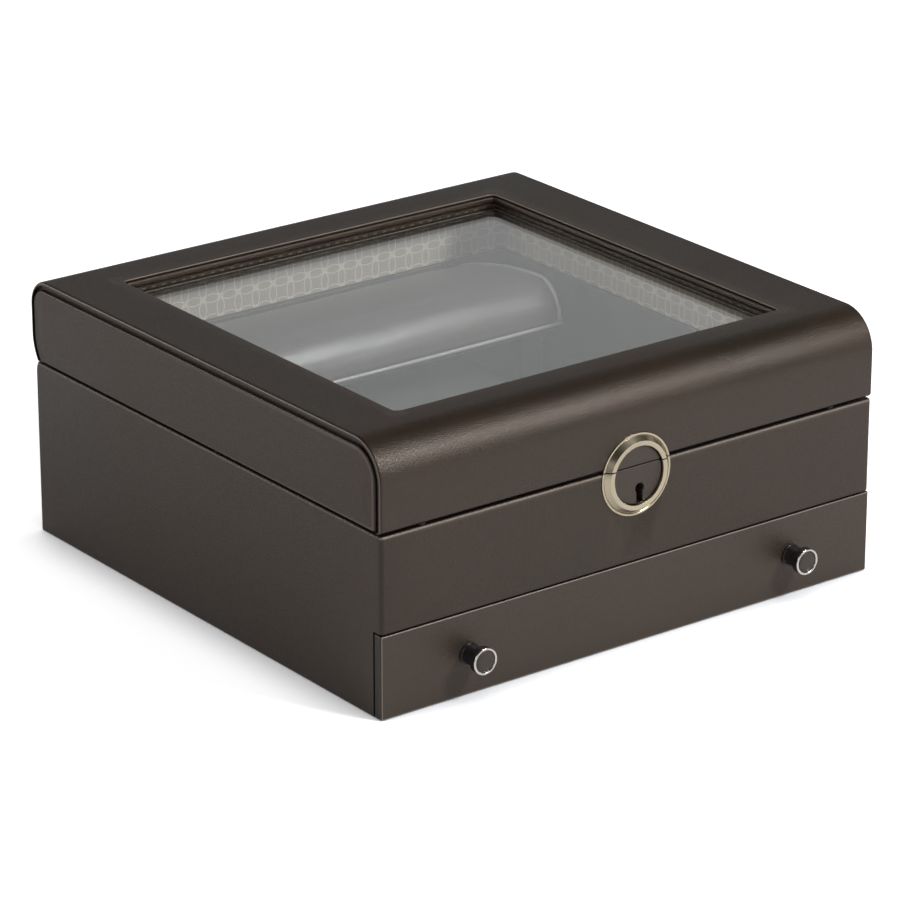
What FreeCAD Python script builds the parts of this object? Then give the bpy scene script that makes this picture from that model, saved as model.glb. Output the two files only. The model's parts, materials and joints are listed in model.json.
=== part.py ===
import FreeCAD, Part

import math
import os

from FreeCAD import Vector

# Watch stand box: a leather-covered case with a glazed lid on two hinges, a padded bar that
# carries watches, a small key lock and a drawer.
# Millimetres, +Z up, +X to the right of someone facing the front, and the front towards -Y.
# The origin is the centre of the case's footprint on the surface that the box stands on.

# Overall sizes
WIDTH = 260.0
DEPTH = 255.0
HEIGHT = 118.0

# Heights of the case, from the surface that it stands on
FELT = 1.0
FOOT_GAP = 0.3
DRAWER_LINE = 37.6
RIM = 79.6

# Thickness of what the walls are made of
LEATHER = 1.0
BOARD = 7.0
LINING = 1.0
BASE_BOARD = 4.0
SHELF = 3.0
FELT_INSET = 12.0

# Rounding of the case
CASE_CORNER_R = 2.0
RIM_EDGE_R = 1.2
REAR_RIM_R = 9.0
REAR_RIM_DROP = 4.8
LINING_DROP = 0.4

# Outline of the lid, from front to back
LID_GAP = 0.8
FRONT_ROLL_R = 17.5
FRONT_LIP_R = 2.0
REAR_OVERHANG = 1.9
REAR_ROLL_R = 12.0
REAR_TUCK_R = 22.0
REAR_TUCK_RISE = 12.0

# Side of the lid: the turned lip, the groove beside it and the padded panel
LIP = 1.8
LIP_EDGE_R = 1.2
GROOVE = 2.6
REAR_LIP = 1.3
REAR_GROOVE = 0.6
SIDE_PAD = 2.2
SIDE_PAD_EDGE_R = 0.8
TOP_BOARD = 10.0

# Window, glass and the moulding round it
SIDE_RAIL = 28.8
FRONT_RAIL = 28.5
BACK_RAIL = 29.6
WINDOW_CORNER_R = 3.0
WINDOW_EDGE_R = 0.7
GLASS_DROP = 5.6
GLASS = 3.0
GLASS_LAP = 5.0
GLASS_PLAY = 0.4
TRIM = 2.0
TRIM_BEAD = 3.2
TRIM_BEAD_PROUD = 0.8
TRIM_BEAD_R = 1.3
TRIM_SEAM = 0.2
STRIP_WIDTH = 4.0

# Drawer
DRAWER_FACE = 4.6
DRAWER_FACE_EDGE_R = 0.8
DRAWER_SHADOW_GAP = 0.8
DRAWER_TOP_GAP = 0.8
DRAWER_FLOOR_GAP = 0.8
DRAWER_SIDE = 6.5
DRAWER_END = 6.0
DRAWER_BOTTOM = 3.0
DRAWER_BOTTOM_RISE = 0.7
DRAWER_SIDE_GAP = 0.8
DRAWER_BACK_GAP = 7.5
DRAWER_HEADROOM = 2.6
DRAWER_BACK_HEADROOM = 0.6
DRAWER_TRAVEL = 170.0
RUNNER_DEPTH = 3.4
RUNNER_HEIGHT = 4.0
RUNNER_Z = 19.0
RUNNER_END_GAP = 9.0
RUNNER_PLAY = 0.3
STOP_WIDTH = 6.0
STOP_HEIGHT = 2.4
STOP_PLAY = 0.4
STOP_SIDE_GAP = 10.0

# Knobs
KNOB_SETBACK = 44.0
KNOB_LENGTH = 11.2
KNOB_HEAD_LENGTH = 3.6
KNOB_HEAD_R = 5.8
KNOB_NECK_R = 4.5
KNOB_FOOT_R = 4.9
KNOB_FOOT = 0.9
KNOB_FOOT_SLOPE = 0.4
KNOB_HEAD_SLOPE = 0.6
KNOB_RING_CHAMFER = 0.2
KNOB_RING = 1.0
KNOB_RING_PROUD = 0.5
KNOB_INLAY_DROP = 0.2
SCREW_R = 1.5
SCREW_CLEAR = 0.25
SCREW_BITE = 4.0
SCREW_HEAD_R = 2.8
SCREW_HEAD = 1.6

# Watch stand: a padded bar on two legs
STAND_END_GAP = 28.0
STAND_DEPTH = 74.0
STAND_BACK_GAP = 6.5
STAND_LEG_HEIGHT = 26.4
STAND_LEG = 12.0
STAND_LEG_INSET = 3.0
STAND_LEG_MARGIN = 10.0
STAND_BOARD = 3.0
STAND_BOARD_INSET = 2.0
PAD_HEIGHT = 19.0
PAD_BACK_HEIGHT = 8.5
PAD_SHOULDER = 15.0
PAD_SLOPE_BULGE = 2.3
PAD_TAIL = 1.6
PAD_CROWN = 0.7
PAD_END_DRAW = 2.2
PAD_END = 2.4
PAD_STEPS = 5

# Escutcheon and keyhole
PLATE_R = 18.1
PLATE_HOLE_R = 12.9
PLATE_DROP = 3.8
PLATE = 2.4
PLATE_RIM = 0.5
PLATE_RIM_WIDTH = 1.1
PLATE_FLAT = 2.1
PLATE_SPLIT = 0.5
PLATE_CHAMFER = 0.2
PLATE_BULGE = 0.05
INLAY = 1.1
INLAY_PLAY = 0.1
KEYHOLE_X = 1.2
KEYHOLE_R = 2.2
KEYHOLE_SLOT = 3.2
KEYHOLE_DROP = 9.9
KEYHOLE_LENGTH = 6.3

# Lock in the front rail, its bolt and the strike on the lid
LOCK_HALF = 15.0
LOCK_DEPTH = 5.2
LOCK_HEIGHT = 21.6
LOCK_WALL = 0.8
KEY_POST_R = 0.8
BOLT_PLAY = 0.3
BOLT_BODY = 4.6
BOLT_NOSE_SPARE = 0.4
BOLT_NOSE_HEIGHT = 2.2
BOLT_NOSE_DROP = 4.0
BOLT_TRAVEL = 4.0
BOLT_TALON_R = 1.6
TONGUE_HALF = 4.0
TONGUE = 1.4
TONGUE_LENGTH = 9.6
TONGUE_NOTCH_SPARE = 1.1
TONGUE_NOTCH_PLAY = 0.4
TONGUE_PLAY = 0.9
BOLT_CLEAR = 0.6
STRIKE_HALF = 13.0
STRIKE_DEPTH = 4.8

# Hinges
HINGE_SETBACK = 55.0
HINGE_SET_IN = 0.3
HINGE_WIDTH = 30.0
HINGE_LEAF = 1.0
HINGE_LEAF_MARGIN = 0.3
KNUCKLE_R = 2.0
KNUCKLE_GAP = 0.3
KNUCKLE_CLEAR = 0.5
PIN_R = 0.8
PIN_CLEAR = 0.05
HINGE_SCREW_R = 1.0
HINGE_SCREW = 6.0
HINGE_SCREW_HEAD_R = 1.9
HINGE_SCREW_HEAD = 0.6
HINGE_SCREW_SPREAD = 9.0
HINGE_SCREW_SETBACK = 4.8

# Felt dots that the lid closes on
BUMPER_R = 2.5
BUMPER = 0.5
BUMPER_SETBACK = 22.0

# Places worked out from the sizes above
HALF_W = WIDTH / 2
HALF_D = DEPTH / 2
CASE_X = HALF_W - LEATHER
CASE_Y = HALF_D - LEATHER
ROOM_X = CASE_X - BOARD
ROOM_Y = CASE_Y - BOARD
LINED_X = ROOM_X - LINING
LINED_Y = ROOM_Y - LINING
BASE_TOP = FELT + BASE_BOARD
SHELF_Z = DRAWER_LINE + LEATHER
SHELF_TOP = SHELF_Z + SHELF
FLOOR_Z = SHELF_TOP + LINING
NOTCH_Y = -HALF_D + DRAWER_FACE + DRAWER_SHADOW_GAP
LID_Z = RIM + LID_GAP
LID_BACK = HALF_D + REAR_OVERHANG
LID_SIDE_X = HALF_W - SIDE_PAD - LEATHER
LID_BOARD_Z = LID_Z + LEATHER
LID_CEILING = HEIGHT - LEATHER - TOP_BOARD
WINDOW_X = HALF_W - SIDE_RAIL
WINDOW_FRONT = -HALF_D + FRONT_RAIL
WINDOW_BACK = LID_BACK - BACK_RAIL
GLASS_TOP = HEIGHT - GLASS_DROP
GLASS_Z = GLASS_TOP - GLASS
DRAWER_BACK = ROOM_Y - DRAWER_BACK_GAP
STAND_HALF = LINED_X - STAND_END_GAP
STAND_BACK = LINED_Y - STAND_BACK_GAP
STAND_FRONT = STAND_BACK - STAND_DEPTH
BUMPER_X = HALF_W - BUMPER_SETBACK
HINGE_X = HALF_W - HINGE_SETBACK
HINGE_Y = HALF_D - HINGE_SET_IN
HINGE_Z = RIM + LID_GAP / 2
PLATE_Z = RIM - PLATE_DROP
KEYHOLE_Z = RIM - KEYHOLE_DROP
KNOB_X = HALF_W - KNOB_SETBACK
KNOB_Z = (FOOT_GAP + DRAWER_LINE) / 2 - DRAWER_TOP_GAP / 2
LOCK_BACK = -ROOM_Y
TONGUE_Y = LOCK_BACK - LOCK_DEPTH / 2
FAR = 2 * (WIDTH + DEPTH + HEIGHT)
NEAR = 0.01


def block(x, y, z):
    """Box between the two values of each pair."""
    corner = Vector(x[0], y[0], z[0])
    return Part.makeBox(x[1] - x[0], y[1] - y[0], z[1] - z[0], corner)


def wide(half):
    """Pair from minus to plus a half width."""
    return (-half, half)


def mirror(shape):
    """Twin of a shape on the other side of the centre plane."""
    return shape.mirror(Vector(0, 0, 0), Vector(1, 0, 0))


def sides(shape):
    """Right-hand shape with its left-hand twin, as separate solids."""
    return Part.makeCompound([shape, mirror(shape)])


def arc(start, middle, end):
    """Arc edge through three points."""
    return Part.Arc(start, middle, end).toShape()


def line(start, end):
    """Straight edge."""
    return Part.makeLine(start, end)


def rod(radius, length, centre, axis):
    """Round bar that starts at the centre given and runs along an axis."""
    return Part.makeCylinder(radius, length, centre, axis)


def slab(x, y, z, radius):
    """Plate between the pairs given, with its four upright corners rounded."""
    corners = [(x[0], y[0], 180.0), (x[1], y[0], 270.0), (x[1], y[1], 0.0), (x[0], y[1], 90.0)]
    middle = Vector((x[0] + x[1]) / 2, (y[0] + y[1]) / 2, 0)
    ends = []
    edges = []
    for corner_x, corner_y, turn in corners:
        centre = Vector(corner_x, corner_y, z[0])
        centre.x += math.copysign(radius, middle.x - corner_x)
        centre.y += math.copysign(radius, middle.y - corner_y)
        points = []
        for step in (0.0, 45.0, 90.0):
            angle = math.radians(turn + step)
            points.append(centre + Vector(radius * math.cos(angle), radius * math.sin(angle), 0))
        edges.append(arc(*points))
        ends.append((points[0], points[2]))
    for index in range(4):
        edges.append(line(ends[index][1], ends[(index + 1) % 4][0]))
    face = Part.Face(Part.Wire(Part.__sortEdges__(edges)))
    return face.extrude(Vector(0, 0, z[1] - z[0]))


def arch(x, y, z, radius):
    """Block whose two upper edges along Y are rounded."""
    lean = Vector(0, y[1] - y[0], 0)
    left = Vector(x[0], y[0], z[1] - radius)
    right = Vector(x[1], y[0], z[1] - radius)
    bend = radius * (1 - math.sqrt(0.5))
    top_left = Vector(x[0] + radius, y[0], z[1])
    top_right = Vector(x[1] - radius, y[0], z[1])
    edges = [
        line(Vector(x[0], y[0], z[0]), left),
        arc(left, Vector(x[0] + bend, y[0], z[1] - bend), top_left),
        line(top_left, top_right),
        arc(top_right, Vector(x[1] - bend, y[0], z[1] - bend), right),
        line(right, Vector(x[1], y[0], z[0])),
        line(Vector(x[1], y[0], z[0]), Vector(x[0], y[0], z[0])),
    ]
    return Part.Face(Part.Wire(edges)).extrude(lean)


def on_arc(centre_y, centre_z, radius, degrees):
    """Point in the YZ plane on a circle, with the angle taken from +Y towards +Z."""
    angle = math.radians(degrees)
    return Vector(0, centre_y + radius * math.cos(angle), centre_z + radius * math.sin(angle))


def shifted(shape, x=0.0, y=0.0, z=0.0):
    """Copy of a shape moved by the distances given."""
    moved = shape.copy()
    moved.translate(Vector(x, y, z))
    return moved


def along_x(face, x):
    """Prism of a YZ face between two X values."""
    return shifted(face, x[0]).extrude(Vector(x[1] - x[0], 0, 0))


def case_outline(inset, bottom):
    """YZ face of the case's side view, drawn in by an inset all round but the bottom."""
    front = -HALF_D + inset
    back = HALF_D - inset
    top = RIM - inset
    radius = REAR_RIM_R - inset
    centre_y = HALF_D - REAR_RIM_R
    centre_z = RIM - REAR_RIM_DROP
    reach = math.degrees(math.asin((top - centre_z) / radius))
    shoulder = on_arc(centre_y, centre_z, radius, reach)
    rear = Vector(0, back, centre_z)
    edge = max(RIM_EDGE_R - inset, 0.0)
    low_front = Vector(0, front, top - edge)
    high_front = Vector(0, front + edge, top)
    edges = [line(Vector(0, front, bottom), low_front)]
    if edge > 0:
        edges.append(arc(low_front, on_arc(front + edge, top - edge, edge, 135), high_front))
    edges.append(line(high_front, shoulder))
    edges.append(arc(shoulder, on_arc(centre_y, centre_z, radius, reach / 2), rear))
    edges.append(line(rear, Vector(0, back, bottom)))
    edges.append(line(Vector(0, back, bottom), Vector(0, front, bottom)))
    return Part.Face(Part.Wire(edges))


def case_form(inset):
    """Solid inside the case's outer face by an inset, with the notch for the drawer's face."""
    side = along_x(case_outline(inset, FOOT_GAP), wide(HALF_W - inset))
    corner = max(CASE_CORNER_R - inset, RIM_EDGE_R)
    plan = slab(wide(HALF_W - inset), wide(HALF_D - inset), (0, HEIGHT), corner)
    form = side.common(plan)
    if inset < RIM_EDGE_R:
        rounding = RIM_EDGE_R - inset
        form = form.common(arch(wide(HALF_W - inset), wide(HALF_D), (0, RIM - inset), rounding))
    notch = block(wide(WIDTH), (-FAR, NOTCH_Y + inset), (-1, DRAWER_LINE + inset))
    return form.cut(notch)


def lid_outline(inset, bottom, rear_inset=None):
    """YZ face of the lid's side view, drawn in by an inset, which may be another one at the back."""
    rear_inset = inset if rear_inset is None else rear_inset
    back = LID_BACK - rear_inset
    front = -HALF_D + inset
    top = HEIGHT - inset
    lip = max(FRONT_LIP_R - inset, 0.0)
    roll_y = -HALF_D + FRONT_ROLL_R
    roll_z = HEIGHT - FRONT_ROLL_R
    roll = FRONT_ROLL_R - inset
    rear = REAR_ROLL_R - inset
    rear_y = back - rear
    rear_z = HEIGHT - REAR_ROLL_R
    tuck_y = LID_BACK - REAR_TUCK_R
    tuck_z = LID_Z + REAR_TUCK_RISE
    tuck = REAR_TUCK_R - rear_inset
    dip = -math.degrees(math.asin((tuck_z - bottom) / tuck))
    heel = on_arc(tuck_y, tuck_z, tuck, dip)
    toe = Vector(0, front + lip, bottom)
    knee = Vector(0, front, bottom + lip)
    edges = []
    if lip > 0:
        edges.append(arc(toe, on_arc(front + lip, bottom + lip, lip, 225), knee))
    edges.append(line(knee, Vector(0, front, roll_z)))
    edges.append(arc(Vector(0, front, roll_z), on_arc(roll_y, roll_z, roll, 135), Vector(0, roll_y, top)))
    edges.append(line(Vector(0, roll_y, top), Vector(0, rear_y, top)))
    shoulder = Vector(0, back, rear_z)
    edges.append(arc(Vector(0, rear_y, top), on_arc(rear_y, rear_z, rear, 45), shoulder))
    edges.append(line(shoulder, Vector(0, back, tuck_z)))
    edges.append(arc(Vector(0, back, tuck_z), on_arc(tuck_y, tuck_z, tuck, dip / 2), heel))
    edges.append(line(heel, toe))
    return Part.Face(Part.Wire(edges))


def rounded_ends(shape, radius, keep_z):
    """Fillet the outline edges on a prism's two end faces, but not those at its bottom."""
    box = shape.BoundBox
    edges = []
    for edge in shape.Edges:
        span = edge.BoundBox
        at_end = span.XLength < NEAR and (span.XMax > box.XMax - NEAR or span.XMin < box.XMin + NEAR)
        if at_end and span.ZMax > keep_z + NEAR:
            edges.append(edge)
    return shape.makeFillet(radius, edges)


def window(grow, z, radius):
    """Prism of the window, grown on all four sides."""
    y = (WINDOW_FRONT - grow, WINDOW_BACK + grow)
    return slab(wide(WINDOW_X + grow), y, z, radius)


def keyhole(y):
    """Prism of the keyhole between two Y values."""
    centre = Vector(KEYHOLE_X, y[0], KEYHOLE_Z)
    hole = rod(KEYHOLE_R, y[1] - y[0], centre, Vector(0, 1, 0))
    slot_x = (KEYHOLE_X - KEYHOLE_SLOT / 2, KEYHOLE_X + KEYHOLE_SLOT / 2)
    return hole.fuse(block(slot_x, y, (KEYHOLE_Z - KEYHOLE_LENGTH, KEYHOLE_Z)))


def hinge_block(z):
    """Room of the right-hand hinge leaf, from the back board's inner face to the hinge's axis."""
    x = (HINGE_X - HINGE_WIDTH / 2, HINGE_X + HINGE_WIDTH / 2)
    return block(x, (ROOM_Y + HINGE_LEAF_MARGIN, HINGE_Y), z)


def knuckle_room():
    """Room round the right-hand hinge's knuckles."""
    length = HINGE_WIDTH + 2 * KNUCKLE_CLEAR
    start = Vector(HINGE_X - length / 2, HINGE_Y, HINGE_Z)
    return rod(KNUCKLE_R + KNUCKLE_CLEAR, length, start, Vector(1, 0, 0))


def hinge_screw_places():
    """Both screws' places on the right-hand hinge leaf."""
    y = HINGE_Y - HINGE_SCREW_SETBACK
    return [(HINGE_X - HINGE_SCREW_SPREAD, y), (HINGE_X + HINGE_SCREW_SPREAD, y)]


def hinge_screws(z, direction):
    """Two countersunk screws of the right-hand hinge leaf, heads flush with its face at z."""
    axis = Vector(0, 0, direction)
    screws = []
    for x, y in hinge_screw_places():
        head = rod(HINGE_SCREW_HEAD_R, HINGE_SCREW_HEAD, Vector(x, y, z), axis)
        screws.append(head.fuse(rod(HINGE_SCREW_R, HINGE_SCREW, Vector(x, y, z), axis)).removeSplitter())
    return Part.makeCompound(screws)


def strike_screws():
    """Two screws that hold the strike plate under the lid's front board."""
    x = (TONGUE_HALF + STRIKE_HALF) / 2
    start = Vector(x, TONGUE_Y, LID_Z)
    head = rod(HINGE_SCREW_HEAD_R, HINGE_SCREW_HEAD, start, Vector(0, 0, 1))
    shank = rod(HINGE_SCREW_R, HINGE_SCREW, start, Vector(0, 0, 1))
    return sides(head.fuse(shank).removeSplitter())


def lock_screws():
    """Two screws through the lock's cover into the front board."""
    x = LOCK_HALF - LOCK_WALL - HINGE_SCREW_HEAD_R
    z = RIM - LOCK_HEIGHT + LOCK_WALL + HINGE_SCREW_HEAD_R
    length = LOCK_DEPTH + (BOARD - LOCK_DEPTH) / 2
    start = Vector(x, LOCK_BACK, z)
    head = rod(HINGE_SCREW_HEAD_R, HINGE_SCREW_HEAD, start, Vector(0, -1, 0))
    shank = rod(HINGE_SCREW_R, length, start, Vector(0, -1, 0))
    return sides(head.fuse(shank).removeSplitter())


def lock_room():
    """Mortise of the lock in the front rail."""
    return block(wide(LOCK_HALF), (LOCK_BACK - LOCK_DEPTH, LOCK_BACK), (RIM - LOCK_HEIGHT, RIM))


def strike_room():
    """Recess of the strike plate under the lid's front board."""
    y = (TONGUE_Y - STRIKE_DEPTH / 2, TONGUE_Y + STRIKE_DEPTH / 2)
    return block(wide(STRIKE_HALF), y, (LID_Z, LID_BOARD_Z))


def case_boards():
    """Boards of the case: base, sides, back, front rail and the shelf over the drawer."""
    core = case_form(LEATHER)
    knuckles = sides(knuckle_room())
    screws = sides(hinge_screws(RIM, -1))
    side = core.common(block((ROOM_X, HALF_W), wide(FAR), (0, RIM)))
    back = core.common(block(wide(ROOM_X), (ROOM_Y, HALF_D), (0, RIM)))
    back = back.cut(knuckles).cut(screws)
    front = core.common(block(wide(ROOM_X), (-HALF_D, -ROOM_Y), (SHELF_Z, RIM)))
    front = front.cut(lock_room()).cut(lock_screws()).cut(keyhole((-HALF_D, LOCK_BACK)))
    floor_y = (NOTCH_Y + LEATHER, ROOM_Y)
    return {
        "base_board": block(wide(ROOM_X), floor_y, (FELT, BASE_TOP)),
        "side_board_left": mirror(side),
        "side_board_right": side,
        "back_board": back,
        "front_rail": front,
        "shelf_board": block(wide(ROOM_X), wide(ROOM_Y), (SHELF_Z, SHELF_TOP)),
    }


def case_covering():
    """Leather skin of the case, the felt under it and the linings of the upper room."""
    skin = case_form(0).cut(case_form(LEATHER))
    skin = skin.cut(block(wide(ROOM_X), wide(ROOM_Y), (DRAWER_LINE, RIM + 1)))
    skin = skin.cut(block(wide(ROOM_X), (-HALF_D, 0), (0, DRAWER_LINE)))
    skin = skin.cut(lock_room()).cut(keyhole((-HALF_D - 1, LOCK_BACK)))
    leaf = hinge_block((RIM - HINGE_LEAF, RIM))
    skin = skin.cut(sides(leaf)).cut(sides(knuckle_room()))
    high = RIM - LINING_DROP
    end = block(wide(ROOM_X), (LINED_Y, ROOM_Y), (FLOOR_Z, high))
    front = block(wide(ROOM_X), (-ROOM_Y, -LINED_Y), (FLOOR_Z, high))
    side = block((LINED_X, ROOM_X), wide(LINED_Y), (FLOOR_Z, high))
    felt_x = HALF_W - FELT_INSET
    felt_y = HALF_D - FELT_INSET
    bumper = rod(BUMPER_R, BUMPER, Vector(BUMPER_X, -(ROOM_Y + HALF_D) / 2, RIM), Vector(0, 0, 1))
    return {
        "case_leather": skin,
        "case_floor_lining": block(wide(ROOM_X), wide(ROOM_Y), (SHELF_TOP, FLOOR_Z)),
        "case_wall_linings": Part.makeCompound([front, end, side, mirror(side)]),
        "base_felt": slab(wide(felt_x), wide(felt_y), (0, FELT), CASE_CORNER_R),
        "rim_bumpers": sides(bumper),
    }


def drawer_guides():
    """Runners on the side boards and the batten that stops the drawer's back."""
    runner_y = (NOTCH_Y + RUNNER_END_GAP, ROOM_Y - RUNNER_END_GAP)
    runner_z = (RUNNER_Z - RUNNER_HEIGHT / 2, RUNNER_Z + RUNNER_HEIGHT / 2)
    runner = block((ROOM_X - RUNNER_DEPTH, ROOM_X), runner_y, runner_z)
    stop_y = DRAWER_BACK - DRAWER_END - DRAWER_TRAVEL - STOP_PLAY
    stop_x = drawer_room_x() - STOP_SIDE_GAP
    return {
        "drawer_runner_left": mirror(runner),
        "drawer_runner_right": runner,
        "drawer_stop": block(wide(stop_x), (stop_y - STOP_WIDTH, stop_y), (SHELF_Z - STOP_HEIGHT, SHELF_Z)),
    }


def pad_section(x, swell):
    """Wire of the pad's cross-section at x: oval front quarter, long slope and oval back quarter."""
    middle = (STAND_FRONT + STAND_BACK) / 2
    rise = 1 + swell / PAD_HEIGHT
    spread = 1 + 2 * swell / STAND_DEPTH

    def at(y, z):
        return Vector(x, middle + (y - middle) * spread, pad_base_z() + z * rise)

    def brow(degrees):
        turn = math.radians(degrees)
        return at(STAND_FRONT + PAD_SHOULDER * (1 - math.cos(turn)), PAD_HEIGHT * math.sin(turn))

    def tail(degrees):
        turn = math.radians(degrees)
        return at(STAND_BACK - PAD_TAIL * (1 - math.cos(turn)), PAD_BACK_HEIGHT * math.sin(turn))

    slope_y = (STAND_FRONT + PAD_SHOULDER + STAND_BACK - PAD_TAIL) / 2
    slope_z = (PAD_HEIGHT + PAD_BACK_HEIGHT) / 2 + PAD_SLOPE_BULGE
    edges = [
        arc(brow(0), brow(30), brow(60)),
        arc(brow(60), brow(75), brow(90)),
        arc(brow(90), at(slope_y, slope_z), tail(90)),
        arc(tail(90), tail(45), tail(0)),
        line(tail(0), brow(0)),
    ]
    return Part.Wire(edges)


def pad_base_z():
    """Height of the padded bar's flat underside."""
    return FLOOR_Z + STAND_LEG_HEIGHT + STAND_BOARD


def watch_pad():
    """Padded bar: crowned along its length and drawn in at both ends."""
    stations = [STAND_HALF, STAND_HALF - PAD_END / 4, STAND_HALF - PAD_END]
    stations += [STAND_HALF * step / PAD_STEPS for step in range(PAD_STEPS - 1, -1, -1)]
    places = [-x for x in stations] + stations[-2::-1]
    wires = []
    for x in places:
        crown = PAD_CROWN * (1 - (x / STAND_HALF) ** 2)
        into_end = max(0.0, (abs(x) - STAND_HALF + PAD_END) / PAD_END)
        draw = PAD_END_DRAW * (1 - math.sqrt(1 - into_end ** 2))
        wires.append(pad_section(x, crown - draw))
    return Part.makeLoft(wires, True, True)


def watch_stand():
    """Two legs, the board across them and the padded bar."""
    leg_x = (STAND_HALF - STAND_LEG_INSET - STAND_LEG, STAND_HALF - STAND_LEG_INSET)
    leg_y = (STAND_FRONT + STAND_LEG_MARGIN, STAND_BACK - STAND_LEG_MARGIN)
    leg_top = FLOOR_Z + STAND_LEG_HEIGHT
    leg = slab(leg_x, leg_y, (FLOOR_Z, leg_top), CASE_CORNER_R)
    board_y = (STAND_FRONT + STAND_BOARD_INSET, STAND_BACK - STAND_BOARD_INSET)
    board = block(wide(STAND_HALF - STAND_BOARD_INSET), board_y, (leg_top, leg_top + STAND_BOARD))
    return {
        "stand_leg_left": mirror(leg),
        "stand_leg_right": leg,
        "stand_board": board,
        "watch_cushion": watch_pad(),
    }


def lid_boards():
    """Boards of the lid: front and back mouldings, sides and the window frame."""
    core = along_x(lid_outline(LEATHER, LID_BOARD_Z), wide(LID_SIDE_X))
    room = block(wide(FAR), wide(ROOM_Y), (0, LID_CEILING))
    solid = core.cut(room)
    front_y = -HALF_D + FRONT_ROLL_R
    back_y = LID_BACK - REAR_ROLL_R
    front = solid.common(block(wide(FAR), (-FAR, front_y), (0, FAR)))
    front = front.cut(strike_screws())
    back = solid.common(block(wide(FAR), (back_y, FAR), (0, FAR)))
    back = back.cut(sides(knuckle_room())).cut(sides(hinge_screws(LID_Z, 1)))
    top = solid.common(block(wide(FAR), (front_y, back_y), (0, FAR)))
    top = top.cut(window(TRIM, (LID_CEILING - 1, HEIGHT), WINDOW_CORNER_R + TRIM))
    seat = GLASS_LAP + TRIM + GLASS_PLAY
    top = top.cut(window(seat, (LID_CEILING - 1, GLASS_TOP), WINDOW_CORNER_R))
    side = block((ROOM_X, LID_SIDE_X), wide(ROOM_Y), (LID_BOARD_Z, LID_CEILING))
    return {
        "lid_front_board": front,
        "lid_back_board": back,
        "lid_window_frame": top,
        "lid_side_board_left": mirror(side),
        "lid_side_board_right": side,
    }


def lid_covering():
    """One leather wrap over front, top and back with turned lips, and a padded panel each side."""
    wrap = along_x(lid_outline(0, LID_Z), wide(HALF_W))
    wrap = rounded_ends(wrap, LIP_EDGE_R, LID_Z)
    wrap = wrap.cut(along_x(lid_outline(LEATHER, LID_BOARD_Z), wide(LID_SIDE_X)))
    pad_x = (LID_SIDE_X + LEATHER, HALF_W + 1)
    recess = along_x(lid_outline(LIP, LID_Z, REAR_LIP), pad_x)
    recess = recess.fuse(block(pad_x, (-HALF_D + LIP, ROOM_Y), (LID_Z - 1, LID_BOARD_Z)))
    wrap = wrap.cut(recess).cut(mirror(recess))
    wrap = wrap.cut(block(wide(ROOM_X), wide(ROOM_Y), (LID_Z - 1, LID_BOARD_Z)))
    opening = window(0, (LID_CEILING, HEIGHT + 1), WINDOW_CORNER_R)
    wrap = wrap.cut(opening)
    rim = [edge for edge in wrap.Edges if on_window_rim(edge)]
    wrap = wrap.makeFillet(WINDOW_EDGE_R, rim)
    leaf = hinge_block((LID_Z, LID_Z + HINGE_LEAF))
    wrap = wrap.cut(sides(leaf)).cut(sides(knuckle_room())).cut(strike_room())
    pad = along_x(lid_outline(LIP + GROOVE, LID_Z, REAR_LIP + REAR_GROOVE), (LID_SIDE_X + LEATHER, HALF_W))
    pad = pad.makeFillet(SIDE_PAD_EDGE_R, [edge for edge in pad.Edges if on_outer_face(edge)])
    return {
        "lid_leather": wrap,
        "lid_side_pad_left": mirror(pad),
        "lid_side_pad_right": pad,
    }


def on_window_rim(edge):
    """Whether an edge lies on the top face round the window."""
    span = edge.BoundBox
    inside_x = span.XMin > -WINDOW_X - NEAR and span.XMax < WINDOW_X + NEAR
    inside_y = span.YMin > WINDOW_FRONT - NEAR and span.YMax < WINDOW_BACK + NEAR
    return inside_x and inside_y and span.ZMin > HEIGHT - NEAR


def on_outer_face(edge):
    """Whether an edge lies on the right-hand outer face of the lid, above its bottom."""
    span = edge.BoundBox
    return span.XMin > HALF_W - NEAR and span.ZMax > LID_Z + NEAR


def window_parts():
    """Moulding round the window, the glass pane and the strips that hold it from below."""
    bead_top = HEIGHT - LEATHER - TRIM_SEAM
    outer = WINDOW_CORNER_R + TRIM
    bead = window(TRIM, (bead_top - TRIM_BEAD, bead_top), outer)
    hole = window(-TRIM_BEAD_PROUD, (GLASS_TOP - 1, HEIGHT), WINDOW_CORNER_R)
    bead = bead.cut(hole)
    bead = bead.makeFillet(TRIM_BEAD_R, [edge for edge in bead.Edges if inside_bead(edge)])
    wall = window(TRIM, (GLASS_TOP, bead_top - TRIM_BEAD), outer)
    wall = wall.cut(window(0, (GLASS_TOP - 1, HEIGHT), WINDOW_CORNER_R))
    trim = bead.fuse(wall).removeSplitter()
    pane = window(TRIM + GLASS_LAP, (GLASS_Z, GLASS_TOP), WINDOW_CORNER_R)
    seat = TRIM + GLASS_LAP + GLASS_PLAY
    strip_z = (LID_CEILING, GLASS_Z)
    strip_x = (WINDOW_X + seat - STRIP_WIDTH, WINDOW_X + seat)
    front_y = WINDOW_FRONT - seat
    back_y = WINDOW_BACK + seat
    side = block(strip_x, (front_y + STRIP_WIDTH, back_y - STRIP_WIDTH), strip_z)
    front = block(wide(WINDOW_X + seat), (front_y, front_y + STRIP_WIDTH), strip_z)
    back = block(wide(WINDOW_X + seat), (back_y - STRIP_WIDTH, back_y), strip_z)
    corners = slab(wide(WINDOW_X + seat), (front_y, back_y), strip_z, WINDOW_CORNER_R)
    strips = [front.common(corners), back.common(corners), side, mirror(side)]
    return {
        "window_moulding": trim,
        "glass_pane": pane,
        "glass_strips": Part.makeCompound(strips),
    }


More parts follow.
